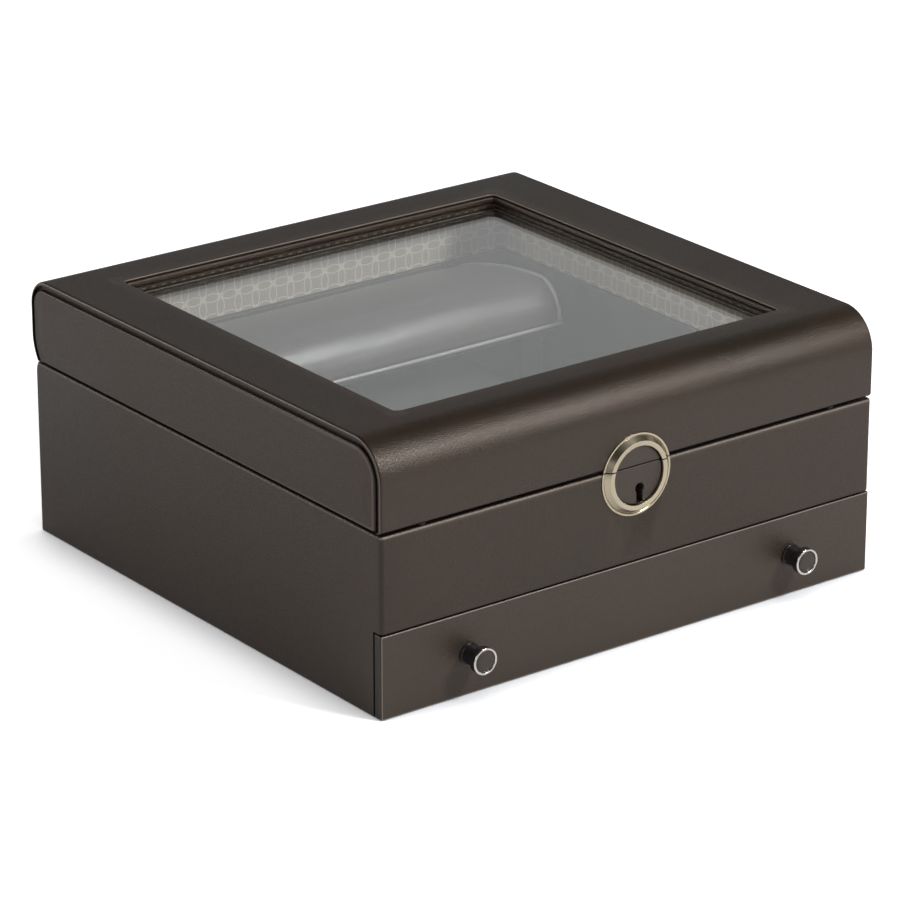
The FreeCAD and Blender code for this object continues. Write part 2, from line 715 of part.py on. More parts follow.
def inside_bead(edge):
    """Whether a level edge lies on the inner face of the moulding's bead."""
    span = edge.BoundBox
    if span.ZLength > NEAR:
        return False
    reach_x = WINDOW_X - TRIM_BEAD_PROUD + NEAR
    front = WINDOW_FRONT + TRIM_BEAD_PROUD - NEAR
    back = WINDOW_BACK - TRIM_BEAD_PROUD + NEAR
    return span.XMin > -reach_x and span.XMax < reach_x and span.YMin > front and span.YMax < back


def lid_linings():
    """Patterned lining on the lid's inner walls and round the window's underside."""
    low = LID_Z + LINING_DROP
    high = LID_CEILING - LINING
    end = block(wide(ROOM_X), (LINED_Y, ROOM_Y), (low, high))
    front = block(wide(ROOM_X), (-ROOM_Y, -LINED_Y), (low, high))
    side = block((LINED_X, ROOM_X), wide(LINED_Y), (low, high))
    ceiling = block(wide(ROOM_X), wide(ROOM_Y), (high, LID_CEILING))
    ceiling = ceiling.cut(window(TRIM, (high - 1, LID_CEILING + 1), WINDOW_CORNER_R))
    return {
        "lid_wall_linings": Part.makeCompound([front, end, side, mirror(side)]),
        "lid_ceiling_lining": ceiling,
    }


def plate_ring():
    """Whole ring of the escutcheon: inner flat, sloping bevel and a low outer rim."""
    flat_r = PLATE_HOLE_R + PLATE_FLAT
    rim_r = PLATE_R - PLATE_RIM_WIDTH
    bevel_r = (flat_r + rim_r) / 2
    bevel_z = (PLATE + PLATE_RIM) / 2 + PLATE_BULGE
    edge = PLATE_CHAMFER

    def at(radius, height):
        return Vector(radius, 0, height)

    edges = [
        line(at(PLATE_HOLE_R, 0), at(PLATE_HOLE_R, PLATE - edge)),
        line(at(PLATE_HOLE_R, PLATE - edge), at(PLATE_HOLE_R + edge, PLATE)),
        line(at(PLATE_HOLE_R + edge, PLATE), at(flat_r, PLATE)),
        arc(at(flat_r, PLATE), at(bevel_r, bevel_z), at(rim_r, PLATE_RIM)),
        line(at(rim_r, PLATE_RIM), at(PLATE_R - edge, PLATE_RIM)),
        line(at(PLATE_R - edge, PLATE_RIM), at(PLATE_R, PLATE_RIM - edge)),
        line(at(PLATE_R, PLATE_RIM - edge), at(PLATE_R, 0)),
        line(at(PLATE_R, 0), at(PLATE_HOLE_R, 0)),
    ]
    profile = Part.Face(Part.Wire(edges))
    ring = profile.revolve(Vector(0, 0, 0), Vector(0, 0, 1), 360)
    ring.rotate(Vector(0, 0, 0), Vector(1, 0, 0), 90)
    return shifted(ring, 0, -HALF_D, PLATE_Z)


def escutcheon():
    """Escutcheon ring and its leather inlay, each split along the lid's line."""
    ring = plate_ring()
    face = Vector(0, -HALF_D - INLAY, PLATE_Z)
    disc = rod(PLATE_HOLE_R - INLAY_PLAY, INLAY, face, Vector(0, 1, 0))
    disc = disc.cut(keyhole((-HALF_D - INLAY - 1, -HALF_D + 1)))
    lower = block(wide(PLATE_R + 1), (-HALF_D - PLATE - 1, -HALF_D), (0, HINGE_Z - PLATE_SPLIT / 2))
    upper = block(wide(PLATE_R + 1), (-HALF_D - PLATE - 1, -HALF_D), (HINGE_Z + PLATE_SPLIT / 2, HEIGHT))
    return {
        "escutcheon_lower": ring.common(lower),
        "escutcheon_upper": ring.common(upper),
        "escutcheon_inlay_lower": disc.common(lower),
        "escutcheon_inlay_upper": disc.common(upper),
    }


def lock_parts():
    """Lock case with its key post, the sliding bolt, the strike on the lid and their screws."""
    inner_x = LOCK_HALF - LOCK_WALL
    inner_y = (LOCK_BACK - LOCK_DEPTH + LOCK_WALL, LOCK_BACK - LOCK_WALL)
    inner_z = (RIM - LOCK_HEIGHT + LOCK_WALL, RIM - LOCK_WALL)
    case = lock_room().cut(block(wide(inner_x), inner_y, inner_z))
    slot_x = TONGUE_HALF + TONGUE_PLAY
    slot_y = (TONGUE_Y - TONGUE / 2 - TONGUE_PLAY, TONGUE_Y + TONGUE / 2 + TONGUE_PLAY)
    case = case.cut(block(wide(slot_x), slot_y, (inner_z[1] - 1, RIM + 1)))
    case = case.cut(keyhole((LOCK_BACK - LOCK_DEPTH - 1, inner_y[0] + NEAR)))
    post = rod(KEY_POST_R, LOCK_DEPTH - LOCK_WALL, Vector(KEYHOLE_X, LOCK_BACK, KEYHOLE_Z), Vector(0, -1, 0))
    case = case.fuse(post).removeSplitter().cut(lock_screws())
    nose_z = RIM - BOLT_NOSE_DROP
    tip = -TONGUE_HALF - BOLT_CLEAR
    bolt_y = (inner_y[0] + BOLT_PLAY, inner_y[1] - BOLT_PLAY)
    shoulder = tip - BOLT_TRAVEL - BOLT_NOSE_SPARE
    body_x = (shoulder - BOLT_BODY, shoulder)
    screw_top = inner_z[0] + 2 * HINGE_SCREW_HEAD_R
    body = block(body_x, bolt_y, (screw_top + BOLT_PLAY, nose_z))
    nose = block((body_x[1] - 1, tip), bolt_y, (nose_z - BOLT_NOSE_HEIGHT, nose_z))
    talon_z = (screw_top + nose_z - BOLT_NOSE_HEIGHT) / 2
    talon = rod(BOLT_TALON_R, LOCK_DEPTH, Vector(body_x[1], LOCK_BACK, talon_z), Vector(0, -1, 0))
    bolt = body.fuse(nose).removeSplitter().cut(talon)
    strike = strike_room()
    tongue_y = (TONGUE_Y - TONGUE / 2, TONGUE_Y + TONGUE / 2)
    tongue = block(wide(TONGUE_HALF), tongue_y, (LID_Z - TONGUE_LENGTH, LID_Z))
    notch_z = (nose_z - BOLT_NOSE_HEIGHT - TONGUE_NOTCH_PLAY, nose_z + TONGUE_NOTCH_PLAY)
    notch_x = (-TONGUE_HALF - 1, tip + BOLT_TRAVEL + TONGUE_NOTCH_SPARE)
    tongue = tongue.cut(block(notch_x, (tongue_y[0] - 1, tongue_y[1] + 1), notch_z))
    strike = strike.fuse(tongue).removeSplitter().cut(strike_screws())
    return {
        "lock_case": case,
        "lock_bolt": bolt,
        "lock_screws": lock_screws(),
        "strike_plate": strike,
    }


def knuckle(x):
    """Barrel of a hinge knuckle between two X values."""
    start = Vector(x[0], HINGE_Y, HINGE_Z)
    return rod(KNUCKLE_R, x[1] - x[0], start, Vector(1, 0, 0))


def hinge_leaf(z, spans, others, screws, bore_r):
    """One leaf with its knuckles, clear of the other leaf's knuckles."""
    leaf = hinge_block(z)
    for x in others:
        room = (x[0] - KNUCKLE_GAP, x[1] + KNUCKLE_GAP)
        reach = KNUCKLE_R + KNUCKLE_GAP
        leaf = leaf.cut(block(room, (HINGE_Y - reach, HINGE_Y + reach), z))
    for x in spans:
        leaf = leaf.fuse(knuckle(x))
    leaf = leaf.removeSplitter()
    start = Vector(HINGE_X - HINGE_WIDTH / 2 - 1, HINGE_Y, HINGE_Z)
    leaf = leaf.cut(rod(bore_r, HINGE_WIDTH + 2, start, Vector(1, 0, 0)))
    return leaf.cut(screws)


def hinges():
    """Two hinges of three knuckles each: the outer two on the case, the middle one on the lid."""
    third = HINGE_WIDTH / 3
    low = HINGE_X - HINGE_WIDTH / 2
    high = HINGE_X + HINGE_WIDTH / 2
    outer = [(low, low + third - KNUCKLE_GAP / 2), (high - third + KNUCKLE_GAP / 2, high)]
    middle = [(low + third + KNUCKLE_GAP / 2, high - third - KNUCKLE_GAP / 2)]
    case_screws = hinge_screws(RIM, -1)
    lid_screws = hinge_screws(LID_Z, 1)
    case_leaf = hinge_leaf((RIM - HINGE_LEAF, RIM), outer, middle, case_screws, PIN_R)
    lid_leaf = hinge_leaf((LID_Z, LID_Z + HINGE_LEAF), middle, outer, lid_screws, PIN_R + PIN_CLEAR)
    pin = rod(PIN_R, HINGE_WIDTH, Vector(low, HINGE_Y, HINGE_Z), Vector(1, 0, 0))
    return {
        "hinge_case_leaf_left": mirror(case_leaf),
        "hinge_case_leaf_right": case_leaf,
        "hinge_lid_leaf_left": mirror(lid_leaf),
        "hinge_lid_leaf_right": lid_leaf,
        "hinge_pins": sides(pin),
        "hinge_case_screws": sides(case_screws),
        "lid_screws": Part.makeCompound([sides(lid_screws), strike_screws()]),
    }


def drawer_front_y():
    """Y of the drawer face's rear side, where the drawer box starts."""
    return -HALF_D + DRAWER_FACE


def drawer_room_x():
    """Half width inside the drawer's sides."""
    return ROOM_X - DRAWER_SIDE_GAP - DRAWER_SIDE


def knob_screws():
    """Screws from inside the drawer through its front into the knobs."""
    start_y = drawer_front_y() + DRAWER_END
    length = DRAWER_END + DRAWER_FACE + KNOB_FOOT + SCREW_BITE
    shank = rod(SCREW_R, length, Vector(KNOB_X, start_y, KNOB_Z), Vector(0, -1, 0))
    head = rod(SCREW_HEAD_R, SCREW_HEAD, Vector(KNOB_X, start_y, KNOB_Z), Vector(0, 1, 0))
    return sides(shank.fuse(head).removeSplitter())


def screw_holes(radius):
    """Clearance holes for both knob screws."""
    start = Vector(KNOB_X, -HALF_D - 1, KNOB_Z)
    return sides(rod(radius, DRAWER_FACE + 2 * DRAWER_END, start, Vector(0, 1, 0)))


def drawer_face():
    """Face board of the drawer and its leather."""
    z = (FOOT_GAP, DRAWER_LINE - DRAWER_TOP_GAP)
    y = (-HALF_D, drawer_front_y())
    outer = block(wide(HALF_W), y, z)
    rim = [edge for edge in outer.Edges if edge.BoundBox.YMax < -HALF_D + NEAR]
    outer = outer.makeFillet(DRAWER_FACE_EDGE_R, rim)
    inner_z = (z[0] + LEATHER, z[1] - LEATHER)
    board = block(wide(CASE_X), (-CASE_Y, y[1]), inner_z)
    holes = screw_holes(SCREW_R + SCREW_CLEAR)
    return {
        "drawer_face_board": board.cut(holes),
        "drawer_face_leather": outer.cut(board).cut(holes),
    }


def drawer_box():
    """Drawer box with grooved sides, its bottom and its suede lining."""
    low = BASE_TOP + DRAWER_FLOOR_GAP
    high = SHELF_Z - DRAWER_HEADROOM
    front = drawer_front_y()
    back = DRAWER_BACK
    inner_x = drawer_room_x()
    outer_x = ROOM_X - DRAWER_SIDE_GAP
    groove_y = (NOTCH_Y + RUNNER_END_GAP - RUNNER_PLAY, back + 1)
    reach = RUNNER_HEIGHT / 2 + RUNNER_PLAY
    groove_x = (ROOM_X - RUNNER_DEPTH - RUNNER_PLAY, outer_x + 1)
    groove = block(groove_x, groove_y, (RUNNER_Z - reach, RUNNER_Z + reach))
    side = block((inner_x, outer_x), (front, back), (low, high)).cut(groove)
    end = block(wide(inner_x), (front, front + DRAWER_END), (low, high))
    rear_z = (low, SHELF_Z - DRAWER_BACK_HEADROOM)
    rear = block(wide(inner_x), (back - DRAWER_END, back), rear_z)
    room_y = (front + DRAWER_END, back - DRAWER_END)
    floor_z = low + DRAWER_BOTTOM_RISE
    floor_top = floor_z + DRAWER_BOTTOM
    tray = block(wide(inner_x), room_y, (floor_top, high - LINING))
    hollow_y = (room_y[0] + LINING, room_y[1] - LINING)
    tray = tray.cut(block(wide(inner_x - LINING), hollow_y, (floor_top + LINING, high)))
    return {
        "drawer_box_front": end.cut(screw_holes(SCREW_R + SCREW_CLEAR)),
        "drawer_side_left": mirror(side),
        "drawer_side_right": side,
        "drawer_back": rear,
        "drawer_bottom": block(wide(inner_x), room_y, (floor_z, floor_top)),
        "drawer_lining": tray.cut(screw_holes(SCREW_HEAD_R + SCREW_CLEAR)),
    }


def knob_turning(points):
    """Solid turned from (radius, distance from the drawer's face) points, at the right-hand knob."""
    path = [Vector(radius, 0, out) for radius, out in points]
    path.append(path[0])
    solid = Part.Face(Part.makePolygon(path)).revolve(Vector(0, 0, 0), Vector(0, 0, 1), 360)
    solid.rotate(Vector(0, 0, 0), Vector(1, 0, 0), 90)
    return shifted(solid, KNOB_X, -HALF_D, KNOB_Z)


def knobs():
    """Turned knobs, each with a metal ring and a leather inlay on its face."""
    head = KNOB_LENGTH - KNOB_HEAD_LENGTH
    seat = KNOB_LENGTH - KNOB_RING_PROUD
    ring_r = KNOB_HEAD_R - KNOB_RING
    body = knob_turning([
        (0, 0), (KNOB_FOOT_R, 0), (KNOB_FOOT_R, KNOB_FOOT), (KNOB_NECK_R, KNOB_FOOT + KNOB_FOOT_SLOPE),
        (KNOB_NECK_R, head - KNOB_HEAD_SLOPE), (KNOB_HEAD_R, head), (KNOB_HEAD_R, seat), (0, seat),
    ])
    hole = rod(SCREW_R, KNOB_FOOT + SCREW_BITE, Vector(KNOB_X, -HALF_D, KNOB_Z), Vector(0, -1, 0))
    body = body.cut(hole)
    ring = knob_turning([
        (ring_r, seat), (KNOB_HEAD_R, seat), (KNOB_HEAD_R, KNOB_LENGTH - KNOB_RING_CHAMFER),
        (KNOB_HEAD_R - KNOB_RING_CHAMFER, KNOB_LENGTH), (ring_r, KNOB_LENGTH),
    ])
    face = KNOB_LENGTH - KNOB_INLAY_DROP
    inlay = knob_turning([(0, seat), (ring_r, seat), (ring_r, face), (0, face)])
    return {
        "drawer_knob_left": mirror(body),
        "drawer_knob_right": body,
        "knob_rings": sides(ring),
        "knob_inlays": sides(inlay),
        "knob_screws": knob_screws(),
    }


def all_parts():
    """Every sub-part by name."""
    parts = {}
    makers = [
        case_boards, case_covering, drawer_guides, watch_stand, lid_boards, lid_covering,
        window_parts, lid_linings, escutcheon, lock_parts, hinges, drawer_face, drawer_box, knobs,
    ]
    for maker in makers:
        parts.update(maker())
    return parts


def main():
    """Write one STEP file per sub-part and print each one's solids and volume."""
    os.makedirs("parts", exist_ok=True)
    parts = all_parts()
    for name, shape in parts.items():
        shape.exportStep("parts/" + name + ".step")
        print(name, len(shape.Solids), round(shape.Volume, 1), shape.isValid())
    print(len(parts), "sub-parts")


main()
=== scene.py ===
import json
import logging
import math
from dataclasses import dataclass, field
from enum import Enum
from typing import Any, Optional, Sequence

import bmesh
import bpy
import numpy as np
from mathutils import Matrix, Vector


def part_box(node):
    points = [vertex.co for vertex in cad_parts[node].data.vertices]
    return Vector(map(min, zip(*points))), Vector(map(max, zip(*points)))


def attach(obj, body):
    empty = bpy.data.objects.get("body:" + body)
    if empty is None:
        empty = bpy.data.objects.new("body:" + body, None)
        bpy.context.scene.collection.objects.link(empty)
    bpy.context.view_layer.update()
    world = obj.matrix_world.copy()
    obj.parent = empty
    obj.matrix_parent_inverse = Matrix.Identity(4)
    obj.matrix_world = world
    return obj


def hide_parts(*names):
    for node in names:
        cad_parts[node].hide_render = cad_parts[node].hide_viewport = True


# Watch stand box: leather cover, glazed lid, padded watch bar, lock plate and drawer with knobs.
# Lengths are millimetres in the row frame, and become metres when a mesh is written.

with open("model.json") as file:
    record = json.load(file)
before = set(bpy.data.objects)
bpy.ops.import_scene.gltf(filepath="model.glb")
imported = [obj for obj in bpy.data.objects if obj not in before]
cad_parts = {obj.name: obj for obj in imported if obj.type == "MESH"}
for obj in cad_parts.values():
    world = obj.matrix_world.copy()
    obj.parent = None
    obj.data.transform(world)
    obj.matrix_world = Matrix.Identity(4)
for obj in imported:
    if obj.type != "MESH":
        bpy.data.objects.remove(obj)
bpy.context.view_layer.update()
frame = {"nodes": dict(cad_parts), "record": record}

MM = 0.001
TOUCH = 0.01
# Painted light: each point's value paints the colour lighter as a highlight above 0 and darker as shade below
# 0, and shade faces get a near-black material as painted shade.
PAINTED_LIGHT = "wear"
PAINTED_SHADE_LEVEL = 0.97
PAINTED_SHADE_COLOR = (0.003, 0.0025, 0.002)
LOG = logging.getLogger("watch_stand_box")

Color = tuple[float, float, float]
Pair = tuple[float, float]


# Places, curves and grids


def span(node: str) -> tuple[np.ndarray, np.ndarray]:
    """Lowest and highest corner of a CAD node, in millimetres."""
    low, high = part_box(node)
    return np.array(low) / MM, np.array(high) / MM


def arc(centre: Sequence[Any], radius: Any, start: Any, end: Any, steps: int) -> np.ndarray:
    """Points on circles, one circle per row.

    The point at angle a is the centre plus radius times (cos a, sin a), with a running evenly from
    start to end.

    Args:
        centre: Both coordinates of the centre. These, the radius and the angles are each a number
            or a column of numbers.
        radius: The radius.
        start: First angle in degrees.
        end: Last angle in degrees.
        steps: Number of steps between the first point and the last.

    Returns:
        Array of shape (rows, steps + 1, 2).
    """
    share = np.linspace(0.0, 1.0, steps + 1)[None, :]
    first, last, size, u, v = (np.reshape(a, (-1, 1)) for a in (start, end, radius, *centre))
    angle = np.radians(first + (last - first) * share)
    return np.stack(np.broadcast_arrays(u + size * np.cos(angle), v + size * np.sin(angle)), axis=-1)


def rounded_rings(
    low: Sequence[Any], high: Sequence[Any], radius: Any, stops: Sequence[float], shares: Sequence[float],
    steps: int,
) -> np.ndarray:
    """Rounded rectangles with the same stations, one per row, anticlockwise from the low corner.

    Each corner is a quarter circle about a centre one radius in from both sides.

    Args:
        low: Low first and second coordinate, numbers or one value per row.
        high: High first and second coordinate.
        radius: Corner radius.
        stops: First coordinates of the stations on the two stretches along the first axis.
        shares: Stations on the two other stretches, as shares of the way between their corners.
        steps: Steps in each corner.

    Returns:
        Array of shape (rows, stations, 2).
    """
    values = np.broadcast_arrays(*(np.atleast_1d(np.asarray(a, float)) for a in (*low, *high, radius)))
    u0, v0, u1, v1, size = (a[:, None] for a in values)
    along = np.asarray(stops, float)[None, :] + 0 * u0
    aside = v0 + size + np.asarray(shares, float)[None, :] * (v1 - v0 - 2 * size)
    return np.concatenate([
        arc((u0 + size, v0 + size), size, 180.0, 270.0, steps), np.stack([along, v0 + 0 * along], axis=-1),
        arc((u1 - size, v0 + size), size, 270.0, 360.0, steps), np.stack([u1 + 0 * aside, aside], axis=-1),
        arc((u1 - size, v1 - size), size, 0.0, 90.0, steps),
        np.stack([along[:, ::-1], v1 + 0 * along], axis=-1),
        arc((u0 + size, v1 - size), size, 90.0, 180.0, steps),
        np.stack([u0 + 0 * aside, aside[:, ::-1]], axis=-1)], axis=1)


def quarter(radius: float, steps: int) -> tuple[np.ndarray, np.ndarray]:
    """Way in, radius times (1 - cos t), and up, radius times sin t, for t from 0 to 90 degrees."""
    turn = np.radians(np.linspace(0.0, 90.0, steps + 1))
    return radius * (1 - np.cos(turn)), radius * np.sin(turn)


def bell(values: Any, middle: Any, width: float) -> np.ndarray:
    """Bell curve: e to the power of minus the square of the distance from the middle over the width."""
    return np.exp(-((values - middle) / width) ** 2)


def both_ways(half: Sequence[float], middle: Sequence[float] = ()) -> list[float]:
    """Values at minus and plus each half, in order, with others between them."""
    return [-x for x in half[::-1]] + [*middle, *half]


def lifted(outlines: np.ndarray, values: Any, axis: int = 2) -> np.ndarray:
    """Flat outlines in space.

    Args:
        outlines: Array of shape (rows, stations, 2).
        values: What becomes the coordinate of the axis, one per row or one for all.
        axis: The axis.

    Returns:
        Array of shape (rows, stations, 3).
    """
    parts = [outlines[..., 0], outlines[..., 1]]
    parts.insert(axis, np.broadcast_to(np.reshape(values, (-1, 1)), outlines.shape[:2]))
    return np.stack(parts, axis=-1)


def centres(grid: np.ndarray) -> np.ndarray:
    """Middle of each face of a grid."""
    return (grid[:-1, :-1] + grid[1:, :-1] + grid[:-1, 1:] + grid[1:, 1:]) / 4


def turned(profile: np.ndarray, steps: int) -> np.ndarray:
    """Surface of revolution: a pair (r, h) at angle a is at (r cos a, -h, r sin a).

    Args:
        profile: Array of (radius, height) pairs.
        steps: Number of columns round the axis.

    Returns:
        Array of shape (pairs, steps, 3), to be closed round the axis.
    """
    angle = np.linspace(0.0, 2 * math.pi, steps, endpoint=False)[None, :]
    radius, height = profile[:, 0:1], profile[:, 1:2]
    return np.stack([radius * np.cos(angle), -height + 0 * angle, radius * np.sin(angle)], axis=-1)


def tube(path: np.ndarray, radius: float, side: Sequence[float], closed: bool) -> np.ndarray:
    """Round tube along a path that lies in one plane.

    At each path point the ring is radius times (side cos a + across sin a), where across is the
    unit vector square to both the path and the side.

    Args:
        path: Array of path points.
        radius: Radius of the tube.
        side: Unit vector square to the path's plane.
        closed: Whether the path's last point joins its first.

    Returns:
        Array of shape (path points, 10, 3).
    """
    steps = 10
    if closed:
        along = np.roll(path, -1, axis=0) - np.roll(path, 1, axis=0)
    else:
        along = np.gradient(path, axis=0)
    along /= np.linalg.norm(along, axis=1, keepdims=True)
    lean = np.asarray(side, float)
    across = np.cross(along, lean)[:, None, :]
    angle = np.linspace(0.0, 2 * math.pi, steps, endpoint=False)[None, :, None]
    return path[:, None, :] + radius * (lean * np.cos(angle) + across * np.sin(angle))


def by_row(values: Any) -> Any:
    """One value per row as a column, and anything else as it is."""
    return np.reshape(values, (-1, 1)) if np.ndim(values) == 1 else values


@dataclass
class Sheet:
    """Points and faces gathered from grids and flat caps, welded where they meet.

    Each point has a painted light value from -1, painted shade, over 0 to 1, painted highlight. Each
    face either has the piece's finish or is painted near-black as shade.
    """

    weld: float = 0.004
    points: list[np.ndarray] = field(default_factory=list)
    painted_lights: list[np.ndarray] = field(default_factory=list)
    faces: list[list[int]] = field(default_factory=list)
    shade_faces: list[bool] = field(default_factory=list)
    count: int = 0

    def _take(self, points: np.ndarray, wear: Any = 0.0) -> int:
        """Add points with their painted light.

        Args:
            points: Array whose last axis is x, y and z.
            wear: Painted highlight or shade of each point, one value per row, or one for all.

        Returns:
            The index of the first point.
        """
        first = self.count
        self.points.append(points.reshape(-1, 3))
        self.painted_lights.append(np.broadcast_to(by_row(wear), points.shape[:-1]).ravel())
        self.count += len(self.points[-1])
        return first

    def grid(
        self, points: np.ndarray, wrap: bool = False, wrap_rows: bool = False, keep: Any = True,
        wear: Any = 0.0, shade_face: Any = False,
    ) -> "Sheet":
        """Add a grid of four-sided faces.

        Args:
            points: Array of shape (rows, columns, 3).
            wrap: Whether the last column joins the first.
            wrap_rows: Whether the last row joins the first.
            keep: Which faces to keep. This, the painted light and the shade faces are one value for all,
                one per row, or one for each.
            wear: Painted highlight (above 0) and painted shade (below 0) of the points.
            shade_face: Which faces are painted near-black as shade.

        Returns:
            This sheet.
        """
        rows, columns = points.shape[:2]
        index = np.arange(rows * columns).reshape(rows, columns) + self._take(points, wear)
        if wrap:
            index = np.concatenate([index, index[:, :1]], axis=1)
        if wrap_rows:
            index = np.concatenate([index, index[:1]], axis=0)
        quads = np.stack([index[:-1, :-1], index[:-1, 1:], index[1:, 1:], index[1:, :-1]], axis=-1)
        kept, dark = (np.broadcast_to(by_row(a), quads.shape[:2]) for a in (keep, shade_face))
        self.faces += quads[kept].tolist()
        self.shade_faces += dark[kept].tolist()
        return self

    def cap(self, ring: np.ndarray, shade_face: bool = False) -> "Sheet":
        """Add one flat face inside a ring of points.

        Args:
            ring: Array of points.
            shade_face: Whether the face is painted near-black as shade.

        Returns:
            This sheet.
        """
        first = self._take(ring)
        self.faces.append(list(range(first, first + len(ring))))
        self.shade_faces.append(shade_face)
        return self

    def fan(self, hub: np.ndarray, rim: np.ndarray) -> None:
        """Add triangles from one point to each step of a rim.

        Args:
            hub: The point.
            rim: Array of points.
        """
        first = self._take(np.concatenate([hub.reshape(1, 3), rim]))
        self.faces += [[first, first + k, first + k + 1] for k in range(1, len(rim))]
        self.shade_faces += [False] * (len(rim) - 1)

    def object(self, name: str, sharp: float = 35.0) -> bpy.types.Object:
        """Weld the points, turn the faces outwards and make the object.

        Args:
            name: The object's name.
            sharp: Angle in degrees over which an edge is left sharp.

        Returns:
            The new object, at the origin, with its place in its mesh.
        """
        points = np.concatenate(self.points)
        cells = np.round(points / self.weld).astype(np.int64)
        _, first, group = np.unique(cells, axis=0, return_index=True, return_inverse=True)
        group = group.reshape(-1)
        welded = [list(dict.fromkeys(group[face].tolist())) for face in self.faces]
        whole = [(face, int(shade_face)) for face, shade_face in zip(welded, self.shade_faces) if len(face) > 2]
        mesh = bpy.data.meshes.new(name)
        mesh.from_pydata((points[first] * MM).tolist(), [], [face for face, _ in whole])
        # Material index 1 is the near-black painted shade; the point attribute holds painted highlight and
        # shade.
        mesh.polygons.foreach_set("material_index", [shade_face for _, shade_face in whole])
        wear = mesh.attributes.new(PAINTED_LIGHT, "FLOAT", "POINT")
        wear.data.foreach_set("value", np.concatenate(self.painted_lights)[first].astype(np.float32))
        turn_outwards(mesh)
        mesh.polygons.foreach_set("use_smooth", np.ones(len(mesh.polygons), bool))
        mesh.set_sharp_from_angle(angle=math.radians(sharp))
        piece = bpy.data.objects.new(name, mesh)
        bpy.context.scene.collection.objects.link(piece)
        return piece


def turn_outwards(mesh: bpy.types.Mesh) -> None:
    """Turn the faces alike, and over if most of their area faces the middle.

    Args:
        mesh: The mesh to change.
    """
    shape = bmesh.new()
    shape.from_mesh(mesh)
    bmesh.ops.recalc_face_normals(shape, faces=shape.faces)
    normals = np.array([f.normal for f in shape.faces])
    middles = np.array([f.calc_center_median() for f in shape.faces])
    areas = np.array([f.calc_area() for f in shape.faces])
    away = middles - np.average(middles, axis=0, weights=areas)
    if np.sum(areas * np.sum(normals * away, axis=1)) < 0:
        bmesh.ops.reverse_faces(shape, faces=shape.faces)
    shape.to_mesh(mesh)
    shape.free()


def thicken(piece: bpy.types.Object, thickness: float, fold: float = 0.0) -> None:
    """Give an open sheet its thickness on the inner side, after its folds.

    Args:
        piece: The sheet's object.
        thickness: Thickness in millimetres.
        fold: Radius of the folds over 50 degrees, or 0 for none.
    """
    if fold > 0:
        bevel = piece.modifiers.new("folds", "BEVEL")
        bevel.width = fold * MM
        bevel.segments = 3
        bevel.limit_method = "ANGLE"
        bevel.angle_limit = math.radians(50.0)
        bevel.use_clamp_overlap = True
    solid = piece.modifiers.new("leather_thickness", "SOLIDIFY")
    solid.thickness = thickness * MM
    solid.offset = -1.0
    solid.use_even_offset = False


# Node trees


